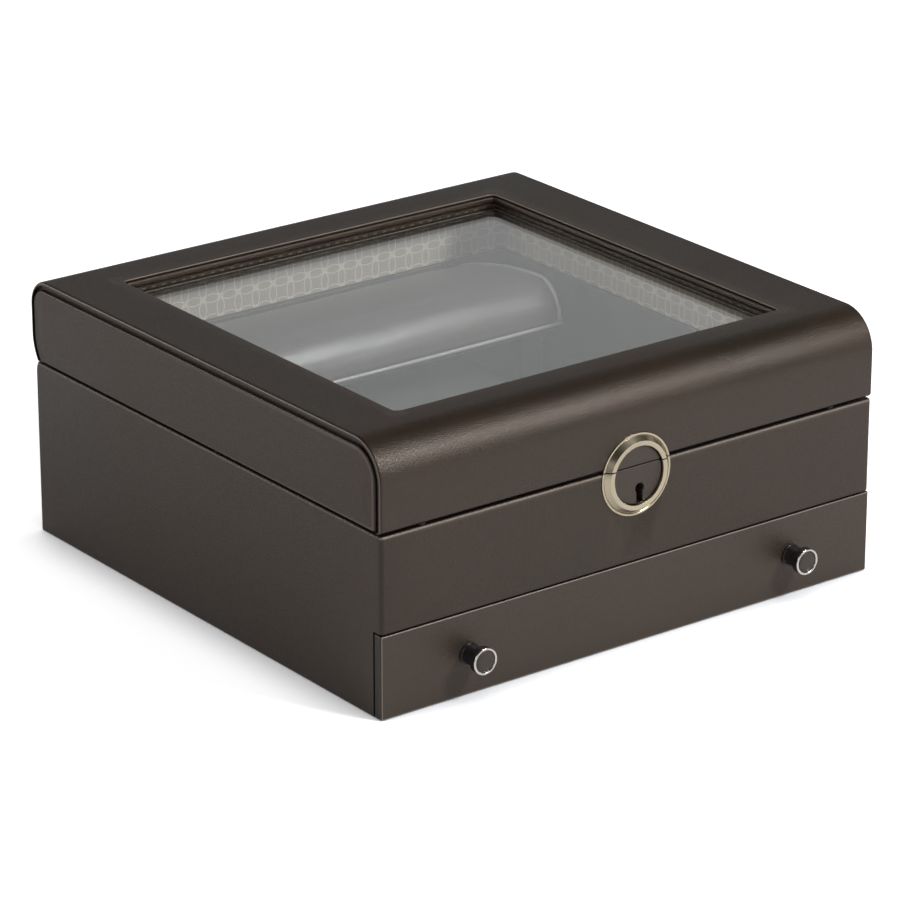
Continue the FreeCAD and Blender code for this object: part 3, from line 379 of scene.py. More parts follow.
class Graph:
    """Short names for adding and joining nodes in one node tree."""

    def __init__(self, tree: bpy.types.NodeTree) -> None:
        """Keep the tree that the nodes go into."""
        self.tree = tree

    def put(self, socket: bpy.types.NodeSocket, value: Any) -> None:
        """Link a socket to a socket, or set it to a constant.

        Args:
            socket: The input.
            value: The output or the constant.
        """
        if isinstance(value, bpy.types.NodeSocket):
            self.tree.links.new(value, socket)
        else:
            socket.default_value = value

    def add(self, kind: str, inputs: Optional[dict[Any, Any]] = None, **settings: Any) -> bpy.types.Node:
        """Add a shader node.

        Args:
            kind: The node's type without its ShaderNode prefix.
            inputs: Values or sockets by input name or index.
            settings: The node's own settings.

        Returns:
            The new node.
        """
        node = self.tree.nodes.new("ShaderNode" + kind)
        for name, value in settings.items():
            setattr(node, name, value)
        for name, value in (inputs or {}).items():
            self.put(node.inputs[name], value)
        return node

    def math(self, operation: str, *values: Any, clamp: bool = False) -> bpy.types.NodeSocket:
        """Result of one arithmetic step on sockets or numbers."""
        node = self.add("Math", dict(enumerate(values)), operation=operation, use_clamp=clamp)
        return node.outputs[0]

    def plus(self, value: Any, share: Any, rest: Any) -> bpy.types.NodeSocket:
        """A value times its share, plus the rest."""
        return self.math("MULTIPLY_ADD", value, share, rest)

    def blend(self, first: Any, share: float, second: Any) -> bpy.types.NodeSocket:
        """The first value times its share, plus the second times what is left of 1."""
        return self.plus(first, share, self.math("MULTIPLY", second, 1.0 - share))

    def waves(self, place: Any, pitch: float) -> bpy.types.NodeSocket:
        """Sine of a place, with a pitch in millimetres."""
        return self.math("SINE", self.math("MULTIPLY", place, 2 * math.pi / (pitch * MM)))

    def gap(self, first: Any, second: Any) -> bpy.types.NodeSocket:
        """Distance between two numbers."""
        return self.math("ABSOLUTE", self.math("SUBTRACT", first, second))

    def vector(self, operation: str, *values: Any) -> bpy.types.NodeSocket:
        """Result of one vector step on sockets or triples."""
        return self.add("VectorMath", dict(enumerate(values)), operation=operation).outputs[0]

    def scaled(self, vector: bpy.types.NodeSocket, scale: Any) -> bpy.types.NodeSocket:
        """Vector times a number."""
        return self.add("VectorMath", {0: vector, "Scale": scale}, operation="SCALE").outputs[0]

    def noise(self, vector: Any, scale: float, detail: float, **inputs: float) -> Any:
        """Outputs of a noise texture."""
        return self.add("TexNoise", {"Vector": vector, "Scale": scale, "Detail": detail, **inputs}).outputs

    def ramp(self, value: Any, low: float, high: float, to: Pair = (0.0, 1.0)) -> Any:
        """Smooth step of a value between two limits, onto another pair of limits."""
        limits = {"Value": value, "From Min": low, "From Max": high, "To Min": to[0], "To Max": to[1]}
        return self.add("MapRange", limits, interpolation_type="SMOOTHSTEP").outputs["Result"]

    def between(self, factor: Any, first: Any, second: Any) -> bpy.types.NodeSocket:
        """Number between two numbers."""
        return self.add("Mix", {0: factor, 2: first, 3: second}, data_type="FLOAT").outputs[0]

    def mix(self, factor: Any, first: Any, second: Any) -> bpy.types.NodeSocket:
        """Colour between two colours."""
        first, second = ((*c, 1.0) if isinstance(c, tuple) else c for c in (first, second))
        return self.add("Mix", {0: factor, 6: first, 7: second}, data_type="RGBA").outputs[2]


class Group(Enum):
    """The effects that several materials share."""

    GRAIN = "leather_grain"
    MOTTLE = "mottle"
    NAP = "nap"
    LATTICE = "lattice"
    BRUSHING = "brushing"


class Effects:
    """Node groups, each built the first time that a material asks for it."""

    def __init__(self) -> None:
        """Start with no group built."""
        self.built: dict[Group, bpy.types.NodeTree] = {}

    def place(self, graph: Graph, kind: Group, inputs: dict[str, Any]) -> Any:
        """Put a group node into a material.

        Args:
            graph: The material's graph.
            kind: Which effect.
            inputs: Values or sockets by input name.

        Returns:
            The group node's outputs.
        """
        if kind not in self.built:
            self.built[kind] = getattr(self, "_" + kind.name.lower())(kind.value)
        node = graph.tree.nodes.new("ShaderNodeGroup")
        node.node_tree = self.built[kind]
        for name, value in inputs.items():
            graph.put(node.inputs[name], value)
        return node.outputs

    @staticmethod
    def _start(name: str, inputs: dict[str, float], outputs: Sequence[str]) -> tuple[Graph, Any, Any, Any]:
        """New group whose places are its Vector input over its first number input.

        Args:
            name: The group's name.
            inputs: Default of each number input.
            outputs: Names of the number outputs.

        Returns:
            The graph, the places, and the sockets of the group's input and output nodes.
        """
        tree = bpy.data.node_groups.new(name, "ShaderNodeTree")
        tree.interface.new_socket(name="Vector", in_out="INPUT", socket_type="NodeSocketVector")
        for label, value in inputs.items():
            socket = tree.interface.new_socket(name=label, in_out="INPUT", socket_type="NodeSocketFloat")
            socket.default_value = value
        for label in outputs:
            tree.interface.new_socket(name=label, in_out="OUTPUT", socket_type="NodeSocketFloat")
        graph = Graph(tree)
        start, end = tree.nodes.new("NodeGroupInput").outputs, tree.nodes.new("NodeGroupOutput").inputs
        scale = graph.math("DIVIDE", 1.0, start[next(iter(inputs))])
        return graph, graph.scaled(start["Vector"], scale), start, end

    def _grain(self, name: str) -> bpy.types.NodeTree:
        """Pebbled grain: cells with soft edges, bent by noise, with finer creases between them.

        Args:
            name: The group's name.

        Returns:
            The group.
        """
        graph, places, _, end = self._start(name, {"Cell": 0.001}, ["Height", "Pore"])
        bent = graph.vector("ADD", places, graph.scaled(graph.noise(places, 0.8, 2.0)["Color"], 0.7))
        cells = graph.add("TexVoronoi", {"Vector": bent, "Scale": 1.0}, feature="DISTANCE_TO_EDGE")
        fine = graph.noise(places, 2.6, 3.0)["Fac"]
        pebble = graph.ramp(cells.outputs["Distance"], 0.0, 0.32)
        graph.put(end["Height"], graph.plus(fine, 0.45, pebble))
        graph.put(end["Pore"], graph.math("SUBTRACT", 1.0, pebble, clamp=True))
        return graph.tree

    def _mottle(self, name: str) -> bpy.types.NodeTree:
        """Slow change of tone, with its contrast about the middle.

        Args:
            name: The group's name.

        Returns:
            The group.
        """
        graph, places, start, end = self._start(name, {"Patch": 0.05, "Contrast": 1.0}, ["Tone"])
        slow = graph.noise(places, 1.0, 3.0, Roughness=0.55)["Fac"]
        offset = graph.math("SUBTRACT", slow, 0.5)
        graph.put(end["Tone"], graph.math("MULTIPLY_ADD", offset, start["Contrast"], 0.5, clamp=True))
        return graph.tree

    def _nap(self, name: str) -> bpy.types.NodeTree:
        """Short fibres: fine speckle over broader brushed streaks.

        Args:
            name: The group's name.

        Returns:
            The group.
        """
        graph, places, _, end = self._start(name, {"Fibre": 0.0003}, ["Height", "Tone"])
        speckle = graph.noise(places, 1.0, 4.0, Roughness=0.7)["Fac"]
        streaks = graph.noise(places, 0.03, 3.0, Distortion=0.6)["Fac"]
        graph.put(end["Height"], speckle)
        graph.put(end["Tone"], graph.blend(speckle, 0.4, streaks))
        return graph.tree

    def _lattice(self, name: str) -> bpy.types.NodeTree:
        """Traditional lattice of overlapping circles with a small ring in the middle of each cell.

        The plane is cut in square cells. Circles about each cell's corners pass through its middle,
        so a point lies on a line where its distance to a near corner is half the cell's diagonal.

        Args:
            name: The group's name.

        Returns:
            The group.
        """
        graph, places, start, end = self._start(name, {"Pitch": 0.009, "Line": 0.03}, ["Lines"])
        inside = graph.vector("SUBTRACT", graph.vector("FRACTION", places), (0.5, 0.5, 0.0))
        flat = graph.vector("MULTIPLY", graph.vector("ABSOLUTE", inside), (1.0, 1.0, 0.0))
        diagonal, ring_r, soft = math.sqrt(0.5), 0.13, 1.4
        rings = [((0.5, 0.5, 0.0), diagonal), ((0.5, -0.5, 0.0), diagonal), ((-0.5, 0.5, 0.0), diagonal),
                 ((0.0, 0.0, 0.0), ring_r)]
        lines = 0.0
        for hub, size in rings:
            away = graph.add("VectorMath", {0: flat, 1: hub}, operation="DISTANCE").outputs["Value"]
            edge = graph.math("DIVIDE", graph.gap(away, size), start["Line"])
            lines = graph.math("MAXIMUM", lines, graph.math("SUBTRACT", soft, edge, clamp=True))
        graph.put(end["Lines"], lines)
        return graph.tree

    def _brushing(self, name: str) -> bpy.types.NodeTree:
        """Fine scratches along the first axis, as a height and as a tone.

        Args:
            name: The group's name.

        Returns:
            The group.
        """
        graph, places, _, end = self._start(name, {"Width": 0.0001}, ["Height", "Tone"])
        fine = graph.noise(graph.vector("MULTIPLY", places, (0.02, 1.0, 1.0)), 1.0, 3.0, Roughness=0.6)["Fac"]
        graph.put(end["Height"], fine)
        graph.put(end["Tone"], graph.blend(fine, 0.5, graph.noise(places, 0.012, 2.0)["Fac"]))
        return graph.tree


EFFECTS = Effects()


# Finishes


class Surface:
    """Material with one Principled surface, and its graph, shader and Object coordinates."""

    def __init__(self, name: str, constants: dict[str, Any]) -> None:
        """Make the material.

        Args:
            name: The material's name.
            constants: Values that are the same all over, by the surface's input name.
        """
        self.material = bpy.data.materials.new(name)
        self.material.use_nodes = True
        self.material.node_tree.nodes.clear()
        self.graph = Graph(self.material.node_tree)
        self.shader = self.graph.add("BsdfPrincipled", constants)
        self.output = self.graph.add("OutputMaterial", {"Surface": self.shader.outputs["BSDF"]})
        self.places = self.graph.add("TexCoord").outputs["Object"]

    def effect(self, kind: Group, **inputs: Any) -> Any:
        """Outputs of a shared effect, on the Object coordinates unless a Vector is given."""
        return EFFECTS.place(self.graph, kind, {"Vector": self.places, **inputs})

    def with_painted_light(self, color: Any, highlight_color: Color) -> bpy.types.NodeSocket:
        """Colour painted lighter as a highlight where the painted light is above 0, and darker as shade below
        0.

        Args:
            color: The colour without painted light.
            highlight_color: The colour of a full painted highlight.

        Returns:
            The colour to use.
        """
        graph = self.graph
        wear = graph.add("Attribute", attribute_name=PAINTED_LIGHT, attribute_type="GEOMETRY").outputs["Fac"]
        lighter = graph.mix(graph.math("MAXIMUM", wear, 0.0), color, highlight_color)
        shade = graph.math("MAXIMUM", graph.math("MULTIPLY", wear, -1.0), 0.0)
        return graph.mix(shade, lighter, PAINTED_SHADE_COLOR)

    def finish(self, color: Any, roughness: Any, *bumps: tuple[Any, float, float]) -> bpy.types.Material:
        """Set the colour, the roughness and the bumps.

        Args:
            color: Base colour.
            roughness: Roughness.
            bumps: Height, strength and depth in metres of each bump, which lies on the one before.

        Returns:
            The material.
        """
        self.graph.put(self.shader.inputs["Base Color"], color)
        self.graph.put(self.shader.inputs["Roughness"], roughness)
        under = {}
        for height, strength, depth in bumps:
            inputs = {"Strength": strength, "Distance": depth, "Height": height, **under}
            under = {"Normal": self.graph.add("Bump", inputs).outputs["Normal"]}
        for normal in under.values():
            self.graph.put(self.shader.inputs["Normal"], normal)
        return self.material


@dataclass(frozen=True)
class Leather:
    """Coated leather over board: fine grain, slow changes of tone and slight waviness."""

    name: str
    deep: Color
    light: Color
    grain: float = 0.75
    roughness: float = 0.32
    relief: float = 0.48
    waviness: float = 0.08
    pore_share: float = 0.35
    pore_tone: float = 0.45
    gloss: Color = (1.0, 0.86, 0.77)
    # Colour of the painted highlight along rounded edges.
    highlight_color: Color = (0.24, 0.20, 0.165)

    def make(self) -> bpy.types.Material:
        """Build the material.

        Returns:
            The material.
        """
        skin = Surface(self.name, {"Specular IOR Level": 0.5, "Specular Tint": (*self.gloss, 1.0)})
        graph = skin.graph
        mottle = skin.effect(Group.MOTTLE, Patch=0.07, Contrast=2.4)["Tone"]
        wave = skin.effect(Group.MOTTLE, Patch=0.014, Contrast=1.0)["Tone"]
        grain = skin.effect(Group.GRAIN, Cell=self.grain * MM)
        pore = graph.math("MULTIPLY", grain["Pore"], self.pore_share)
        tone = graph.mix(mottle, self.deep, self.light)
        tone = graph.mix(pore, tone, tuple(c * self.pore_tone for c in self.deep))
        rough = graph.plus(mottle, 0.06, graph.plus(grain["Pore"], 0.12, self.roughness - 0.03))
        return skin.finish(
            skin.with_painted_light(tone, self.highlight_color), rough, (wave, self.waviness, 0.0006),
            (grain["Height"], self.relief, 0.00010))


@dataclass(frozen=True)
class Satin:
    """Smooth cover cloth with faint streaks along the bar."""

    name: str
    deep: Color
    light: Color
    roughness: float = 0.36
    streak: float = 0.9
    # Colour of the painted highlight on the piping.
    highlight_color: Color = (0.42, 0.40, 0.38)

    def make(self) -> bpy.types.Material:
        """Build the material.

        Returns:
            The material.
        """
        cloth = Surface(self.name, {"Specular IOR Level": 0.5})
        graph = cloth.graph
        streaks = cloth.effect(Group.BRUSHING, Width=self.streak * MM)
        mottle = cloth.effect(Group.MOTTLE, Patch=0.03, Contrast=1.0)["Tone"]
        tone = graph.ramp(streaks["Tone"], 0.30, 0.70)
        return cloth.finish(
            cloth.with_painted_light(graph.mix(tone, self.deep, self.light), self.highlight_color),
            graph.plus(tone, 0.08, self.roughness - 0.04), (mottle, 0.15, 0.0006),
            (streaks["Height"], 0.10, 0.00006))


@dataclass(frozen=True)
class Tape:
    """Dark woven tape with upright ribs and a broken row of light stitches along its upper edge."""

    name: str
    ground: Color
    rib: Color
    stitch: Color
    row_z: float
    rib_pitch: float = 1.9
    stitch_pitch: float = 5.2
    row_half: float = 0.45
    rib_end: Pair = (0.2, 0.6)

    def make(self) -> bpy.types.Material:
        """Build the material. The ribs and stitches run along x plus y, one of which is constant.

        Returns:
            The material.
        """
        tape = Surface(self.name, {"Specular IOR Level": 0.15})
        graph = tape.graph
        split = graph.add("SeparateXYZ", {0: tape.places}).outputs
        nap = tape.effect(Group.NAP, Fibre=0.0004)["Tone"]
        along = graph.plus(nap, 0.004, graph.math("ADD", split["X"], split["Y"]))
        low, high = ((self.row_z + end) * MM for end in self.rib_end)
        rib = graph.ramp(graph.waves(along, self.rib_pitch), -0.2, 0.9)
        rib = graph.math("MULTIPLY", rib, graph.ramp(split["Z"], low, high, (1.0, 0.0)))
        miss = graph.gap(split["Z"], self.row_z * MM)
        row = graph.ramp(miss, 0.4 * self.row_half * MM, self.row_half * MM, (1.0, 0.0))
        spot = graph.math("MULTIPLY", graph.ramp(graph.waves(along, self.stitch_pitch), 0.1, 0.6), row)
        color = graph.mix(spot, graph.mix(rib, self.ground, self.rib), self.stitch)
        return tape.finish(color, graph.plus(spot, -0.2, 0.85), (rib, 0.3, 0.0002))


class Plane(Enum):
    """Which two row axes a printed pattern lies in."""

    WALL = "wall"
    LEVEL = "level"


@dataclass(frozen=True)
class PrintedLining:
    """Woven lining with a lighter printed lattice, and near-black painted shade along its edge round an
    opening.
    """

    name: str
    plane: Plane
    opening: Optional[tuple[np.ndarray, np.ndarray]] = None
    ground: Color = (0.325, 0.280, 0.230)
    line: Color = (0.66, 0.60, 0.50)
    # Near-black painted shade along the edge round the opening.
    edge: Color = (0.008, 0.006, 0.005)
    shade_reach: Pair = (0.3, 0.5)
    pitch: float = 9.5
    line_share: float = 0.022

    def make(self) -> bpy.types.Material:
        """Build the material. On a wall the pattern runs along x plus y, one of which is constant.

        Returns:
            The material.
        """
        lining = Surface(self.name, {"Specular IOR Level": 0.3, "Sheen Weight": 0.15})
        graph = lining.graph
        split = graph.add("SeparateXYZ", {0: lining.places}).outputs
        across, up = split["X"], split["Y"]
        if self.plane is Plane.WALL:
            across, up = graph.math("ADD", split["X"], split["Y"]), split["Z"]
        flat = graph.add("CombineXYZ", {"X": across, "Y": up}).outputs[0]
        lattice = lining.effect(Group.LATTICE, Vector=flat, Pitch=self.pitch * MM, Line=self.line_share)
        nap = lining.effect(Group.NAP, Fibre=0.00022)
        mottle = lining.effect(Group.MOTTLE, Patch=0.004, Contrast=1.3)["Tone"]
        ink = graph.math("MULTIPLY", lattice["Lines"], graph.plus(mottle, 0.5, 0.45))
        ground = graph.mix(nap["Tone"], tuple(c * 0.82 for c in self.ground), self.ground)
        cloth = graph.mix(ink, ground, self.line)
        if self.opening:
            cloth = graph.mix(self._painted_shade_edge(graph, split), cloth, self.edge)
        return lining.finish(
            cloth, graph.plus(ink, -0.3, 0.78), (nap["Height"], 0.25, 0.0001), (ink, 0.3, 0.00008))

    def _painted_shade_edge(self, graph: Graph, split: Any) -> bpy.types.NodeSocket:
        """Mask of the painted shade along the edge, from the greater of the distances past the opening
        along x and y.

        Args:
            graph: The material's graph.
            split: The Object coordinates, one by one.

        Returns:
            The mask, which is 1 at the edge.
        """
        past = []
        for low, high, name in zip(*self.opening, "XY"):
            offset = graph.gap(split[name], (low + high) / 2 * MM)
            past.append(graph.math("SUBTRACT", offset, (high - low) / 2 * MM))
        near, far = (reach * MM for reach in self.shade_reach)
        return graph.ramp(graph.math("MAXIMUM", *past), near, far, (1.0, 0.0))


@dataclass(frozen=True)
class Nap:
    """Suede, felt or brushed cloth."""

    name: str
    deep: Color
    light: Color
    fibre: float = 0.3
    relief: float = 0.4
    sheen: float = 0.35
    specular: float = 0.2

    def make(self) -> bpy.types.Material:
        """Build the material.

        Returns:
            The material.
        """
        constants = {"Specular IOR Level": self.specular, "Sheen Weight": self.sheen, "Sheen Roughness": 0.4}
        cloth = Surface(self.name, constants)
        nap = cloth.effect(Group.NAP, Fibre=self.fibre * MM)
        tone = cloth.graph.ramp(nap["Tone"], 0.35, 0.65)
        return cloth.finish(
            cloth.graph.mix(tone, self.deep, self.light), cloth.graph.plus(tone, -0.1, 0.92),
            (nap["Height"], self.relief, 0.00015))


@dataclass(frozen=True)
class Board:
    """Wood or pressed board: rings drawn out along one axis, or a fine speckle."""

    name: str
    deep: Color
    light: Color
    figure: float = 1.0
    drawn: tuple[float, float, float] = (12.0, 90.0, 160.0)

    def make(self) -> bpy.types.Material:
        """Build the material.

        Returns:
            The material.
        """
        wood = Surface(self.name, {"Specular IOR Level": 0.35})
        graph = wood.graph
        drawn = graph.vector("MULTIPLY", wood.places, self.drawn)
        bend = graph.noise(drawn, 0.7, 4.0)["Fac"]
        bands = graph.noise(drawn, 2.2, 5.0, Distortion=1.1)["Fac"]
        speckle = graph.noise(wood.places, 1500.0, 3.0)["Fac"]
        tone = graph.ramp(graph.plus(bend, 0.3, graph.blend(bands, self.figure, speckle)), 0.4, 0.9)
        return wood.finish(
            graph.mix(tone, self.deep, self.light), graph.plus(tone, 0.15, 0.5), (bands, 0.12, 0.0001))


@dataclass(frozen=True)
class Metal:
    """Brushed or satin metal with fine scratches and slight clouding."""

    name: str
    color: Color
    roughness: float
    scratch: float = 0.09
    relief: float = 0.12

    def make(self) -> bpy.types.Material:
        """Build the material.

        Returns:
            The material.
        """
        metal = Surface(self.name, {"Metallic": 1.0})
        graph = metal.graph
        scratches = metal.effect(Group.BRUSHING, Width=self.scratch * MM)
        return metal.finish(
            graph.mix(scratches["Tone"], tuple(c * 0.8 for c in self.color), self.color),
            graph.plus(scratches["Tone"], 0.16, self.roughness - 0.08),
            (scratches["Height"], self.relief, 0.00003))


@dataclass(frozen=True)
class Lacquer:
    """Gloss black paint on turned metal."""

    name: str
    color: Color
    roughness: float = 0.16

    def make(self) -> bpy.types.Material:
        """Build the material.

        Returns:
            The material.
        """
        constants = {"Coat Weight": 0.1, "Coat Roughness": 0.1, "Specular IOR Level": 0.25}
        paint = Surface(self.name, constants)
        mottle = paint.effect(Group.MOTTLE, Patch=0.002, Contrast=1.2)["Tone"]
        return paint.finish(
            paint.graph.mix(mottle, self.color, tuple(c * 1.5 for c in self.color)),
            paint.graph.plus(mottle, 0.08, self.roughness), (mottle, 0.03, 0.0001))


@dataclass(frozen=True)
class Glass:
    """Clear pane that lets lamps light what is under it."""

    name: str
    tint: Color
    ior: float = 1.5
    gloss: Color = (0.93, 0.98, 1.0)
    clear: Color = (0.92, 0.94, 0.94)

    def make(self) -> bpy.types.Material:
        """Build the material: shadow and diffuse rays pass straight through the pane.

        Returns:
            The material.
        """
        pane = Surface(self.name, {
            "Metallic": 0.0, "Transmission Weight": 1.0, "IOR": self.ior, "Roughness": 0.0,
            "Specular Tint": (*self.gloss, 1.0)})
        graph = pane.graph
        haze = pane.effect(Group.MOTTLE, Patch=0.08, Contrast=1.0)["Tone"]
        color = graph.mix(haze, self.tint, tuple(min(1.0, c * 1.02) for c in self.tint))
        graph.put(pane.shader.inputs["Base Color"], color)
        path = graph.add("LightPath").outputs
        through = graph.math("MAXIMUM", path["Is Shadow Ray"], path["Is Diffuse Ray"])
        clear_way = graph.add("BsdfTransparent", {"Color": (*self.clear, 1.0)})
        mixed = graph.add("MixShader", {0: through, 1: pane.shader.outputs[0], 2: clear_way.outputs[0]})
        graph.put(pane.output.inputs["Surface"], mixed.outputs[0])
        return pane.material


STITCH_DROP = 0.9

FINISHES = {finish.name: finish for finish in (
    Leather("cover_leather", (0.0126, 0.0091, 0.0046), (0.0203, 0.0105, 0.0060)),
    Leather("moulding_leather", (0.014, 0.0085, 0.0045), (0.020, 0.012, 0.006), grain=0.6),
    Leather("inlay_leather", (0.026, 0.020, 0.015), (0.032, 0.025, 0.020), grain=0.5),
    # Near-black material for faces that stand in for shade in grooves, gaps, walls and recesses: painted
    # shade.
    Nap("painted_shade", PAINTED_SHADE_COLOR, (0.005, 0.004, 0.0035), sheen=0.0, specular=0.04),
    Tape("stitched_tape", (0.010, 0.006, 0.004), (0.050, 0.028, 0.018), (0.22, 0.19, 0.14),
         float(span("glass_strips")[1][2]) - STITCH_DROP),
    Satin("cushion_cover", (0.066, 0.060, 0.055), (0.092, 0.085, 0.078)),
    PrintedLining("patterned_lining", Plane.WALL),
    PrintedLining("level_lining", Plane.LEVEL, span("window_moulding")),
    Nap("dark_suede", (0.020, 0.017, 0.015), (0.040, 0.034, 0.030)),
    Nap("felt", (0.018, 0.018, 0.018), (0.035, 0.035, 0.035), fibre=0.5, relief=0.7),
    Board("fibreboard", (0.22, 0.155, 0.10), (0.34, 0.25, 0.17), figure=0.25),
    Board("drawer_wood", (0.26, 0.17, 0.095), (0.42, 0.30, 0.18), figure=1.0),
    Metal("antique_nickel", (0.47, 0.405, 0.295), roughness=0.24, relief=0.08),
    Metal("bright_nickel", (0.66, 0.63, 0.58), roughness=0.26),
    Metal("hinge_brass", (0.56, 0.45, 0.27), roughness=0.36),
    Metal("screw_steel", (0.55, 0.55, 0.54), roughness=0.3),
    Lacquer("knob_black", (0.010, 0.009, 0.009)),
    Glass("glass", (0.93, 0.95, 0.95)),
)}


class Wardrobe:
    """Materials by finish name, each built once."""

    def __init__(self) -> None:
        """Start with no material built."""
        self.made: dict[str, bpy.types.Material] = {}

    def dress(self, piece: bpy.types.Object, *finishes: str) -> None:
        """Give a piece its finish, and its painted shade faces theirs.

        Args:
            piece: The object.
            finishes: The finishes' names, in the order of the mesh's material indices.
        """
        piece.data.materials.clear()
        for finish in finishes:
            if finish not in self.made:
                self.made[finish] = FINISHES[finish].make()
            piece.data.materials.append(self.made[finish])


WARDROBE = Wardrobe()


def settle(
    piece: bpy.types.Object, body: str, finish: str, replaced: Sequence[str] = (),
) -> None:
    """Dress a new piece and its painted shade faces, let it ride on its body and report it.

    Args:
        piece: The object.
        body: The body that it rides on.
        finish: The name of its finish.
        replaced: CAD nodes that it stands for.
    """
    WARDROBE.dress(piece, finish, "painted_shade")
    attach(piece, body)
    if replaced:
        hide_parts(*replaced)
    LOG.info("%s rides on %s in %s", piece.name, body, finish)


# Case


@dataclass
class CaseCover:
    """Leather over the case: walls, rounded rim, turned inner edge and the drawer's notch."""

    wall: float = 8.0
    corner_r: float = 2.0
    least_r: float = 0.3
    rim_r: float = 1.2
    foot_r: float = 0.4
    rear_r: float = 9.0
    rear_drop: float = 4.8
    rear_step: float = 1.2
    rear_ease: float = 0.35
    inner_r: float = 0.4
    turn_in: float = 0.8
    thickness: float = 0.8
    fold_r: float = 0.5
    drawer_gap: float = 0.8
    key_half: float = 8.0
    key_drop: float = 17.8
    key_rise: float = 20.0
    hinge_gap: Pair = (59.5, 90.5)
    hinge_room: float = 2.2
    lock_half: float = 15.0
    lock_setback: float = 2.8
    front_stops: Pair = (36.0, 110.0)
    side_stops: tuple[float, ...] = (-60.0, 0.0, 60.0)
    # Painted light: a painted highlight along the rim's round, front and sides, and painted shade on the
    # turned inner edge, at the upright corners and round the drawer's opening, fading over shade.
    shade: float = 0.9
    crest: float = 0.5
    highlight_at: Pair = (0.6, 0.32)
    side_crest: float = 0.18
    side_crest_at: Pair = (0.74, 0.13)
    inside_from: Pair = (0.12, 0.5)
    corner_shade: float = 0.55
    corner_at: Pair = (0.41, 0.5)

    def __post_init__(self) -> None:
        """Read the case's box and the drawer opening's upper and rear edge."""
        self.low, self.high = span("case_leather")
        _, self.notch_y, self.line = span("drawer_face_leather")[1] + self.drawer_gap

    def build(self) -> None:
        """Make the cover as one sheet of rounded rings, with its openings left out."""
        low, high = self.low, self.high
        heights, insets, backs = self._profile(span("escutcheon_lower")[1][2] - self.key_drop)
        start, end = low[1] + self.corner_r, high[1] - self.corner_r
        beside = (self.notch_y, self.notch_y + self.shade, *self.side_stops)
        shares = [(y - start) / (end - start) for y in beside]
        mid, far = self.front_stops
        stops = both_ways([self.key_half, self.lock_half, mid, *self.hinge_gap, far])
        grid = lifted(rounded_rings(
            (low[0] + insets, low[1] + insets), (high[0] - insets, high[1] - backs),
            np.maximum(self.corner_r - insets, self.least_r), stops, shares, 6), heights)
        sheet = Sheet().grid(grid, wrap=True, keep=self._kept(grid), wear=self._wear(grid))
        self._add_flaps(sheet, grid)
        piece = sheet.object("case_cover")
        thicken(piece, self.thickness, self.fold_r)
        settle(piece, "case", "cover_leather", ["case_leather"])

    def _profile(self, key_z: float) -> tuple[np.ndarray, ...]:
        """Rings from the foot up and over the rim.

        The rear inset follows the rear rim's arc: its radius less the root of the radius squared
        less the height above the arc's start squared.

        Args:
            key_z: Height of the key opening's lower edge.

        Returns:
            Height, inset and rear inset of each ring.
        """
        foot_in, foot_up = quarter(self.foot_r, 3)
        rim_in, rim_up = quarter(self.rim_r, 6)
        inner_in, inner_up = quarter(self.inner_r, 3)
        rim, inner = self.high[2], self.wall - self.inner_r
        start = rim - self.rear_drop
        walls = [
            self.line, self.line + self.shade, key_z, start, start + self.rear_step, rim - self.hinge_room]
        heights = np.concatenate([
            self.low[2] + self.foot_r - foot_up[::-1], walls, rim - self.rim_r + rim_up, [rim] * 3,
            rim - inner_in[1:], [rim - self.turn_in]])
        insets = np.concatenate([
            foot_in[::-1], [0.0] * len(walls), rim_in, [self.rim_r + 0.3, self.lock_setback, inner],
            inner + inner_up[1:], [self.wall]])
        lift = np.clip(heights - start, 0.0, self.rear_r)
        backs = np.maximum(insets, self.rear_r - np.sqrt(self.rear_r ** 2 - lift ** 2))
        backs += self.rear_ease * ((insets > self.rim_r) & (insets < inner))
        return heights, insets, backs

    def _wear(self, grid: np.ndarray) -> np.ndarray:
        """Painted highlight along the rim, soft painted shade at the corners, and painted shade round the
        drawer's opening and on the turned inner edge.

        The painted highlight is a bell curve about a height in the rim's round. The corners' painted
        shade is a bell curve of the distance from the corner's diagonal.

        Args:
            grid: The cover's points.

        Returns:
            The painted light of each point.
        """
        x, y, z = np.abs(grid[..., 0]), grid[..., 1], grid[..., 2]
        front = y < self.rim_r - self.high[1]
        drop = (self.high[2] - z) / self.rim_r
        crest = np.where(front, self.crest * bell(drop, *self.highlight_at),
                         self.side_crest * bell(drop, *self.side_crest_at))
        # Painted shade on the turned inner edge, and on the leather beside and under the drawer's opening.
        inside = drop < np.where(front, *self.inside_from)
        from_corner = np.hypot(self.high[0] - x, self.high[1] - np.abs(y)) / self.corner_r
        corner = self.corner_shade * bell(from_corner, *self.corner_at) * (z < self.high[2] - self.rim_r)
        beside = (np.abs(y - self.notch_y) < TOUCH) & (z < self.line + TOUCH)
        under = (np.abs(z - self.line) < TOUCH) & (y < self.notch_y)
        return np.where(inside, 0.0, crest) - np.maximum(corner, PAINTED_SHADE_LEVEL * (beside | under | inside))

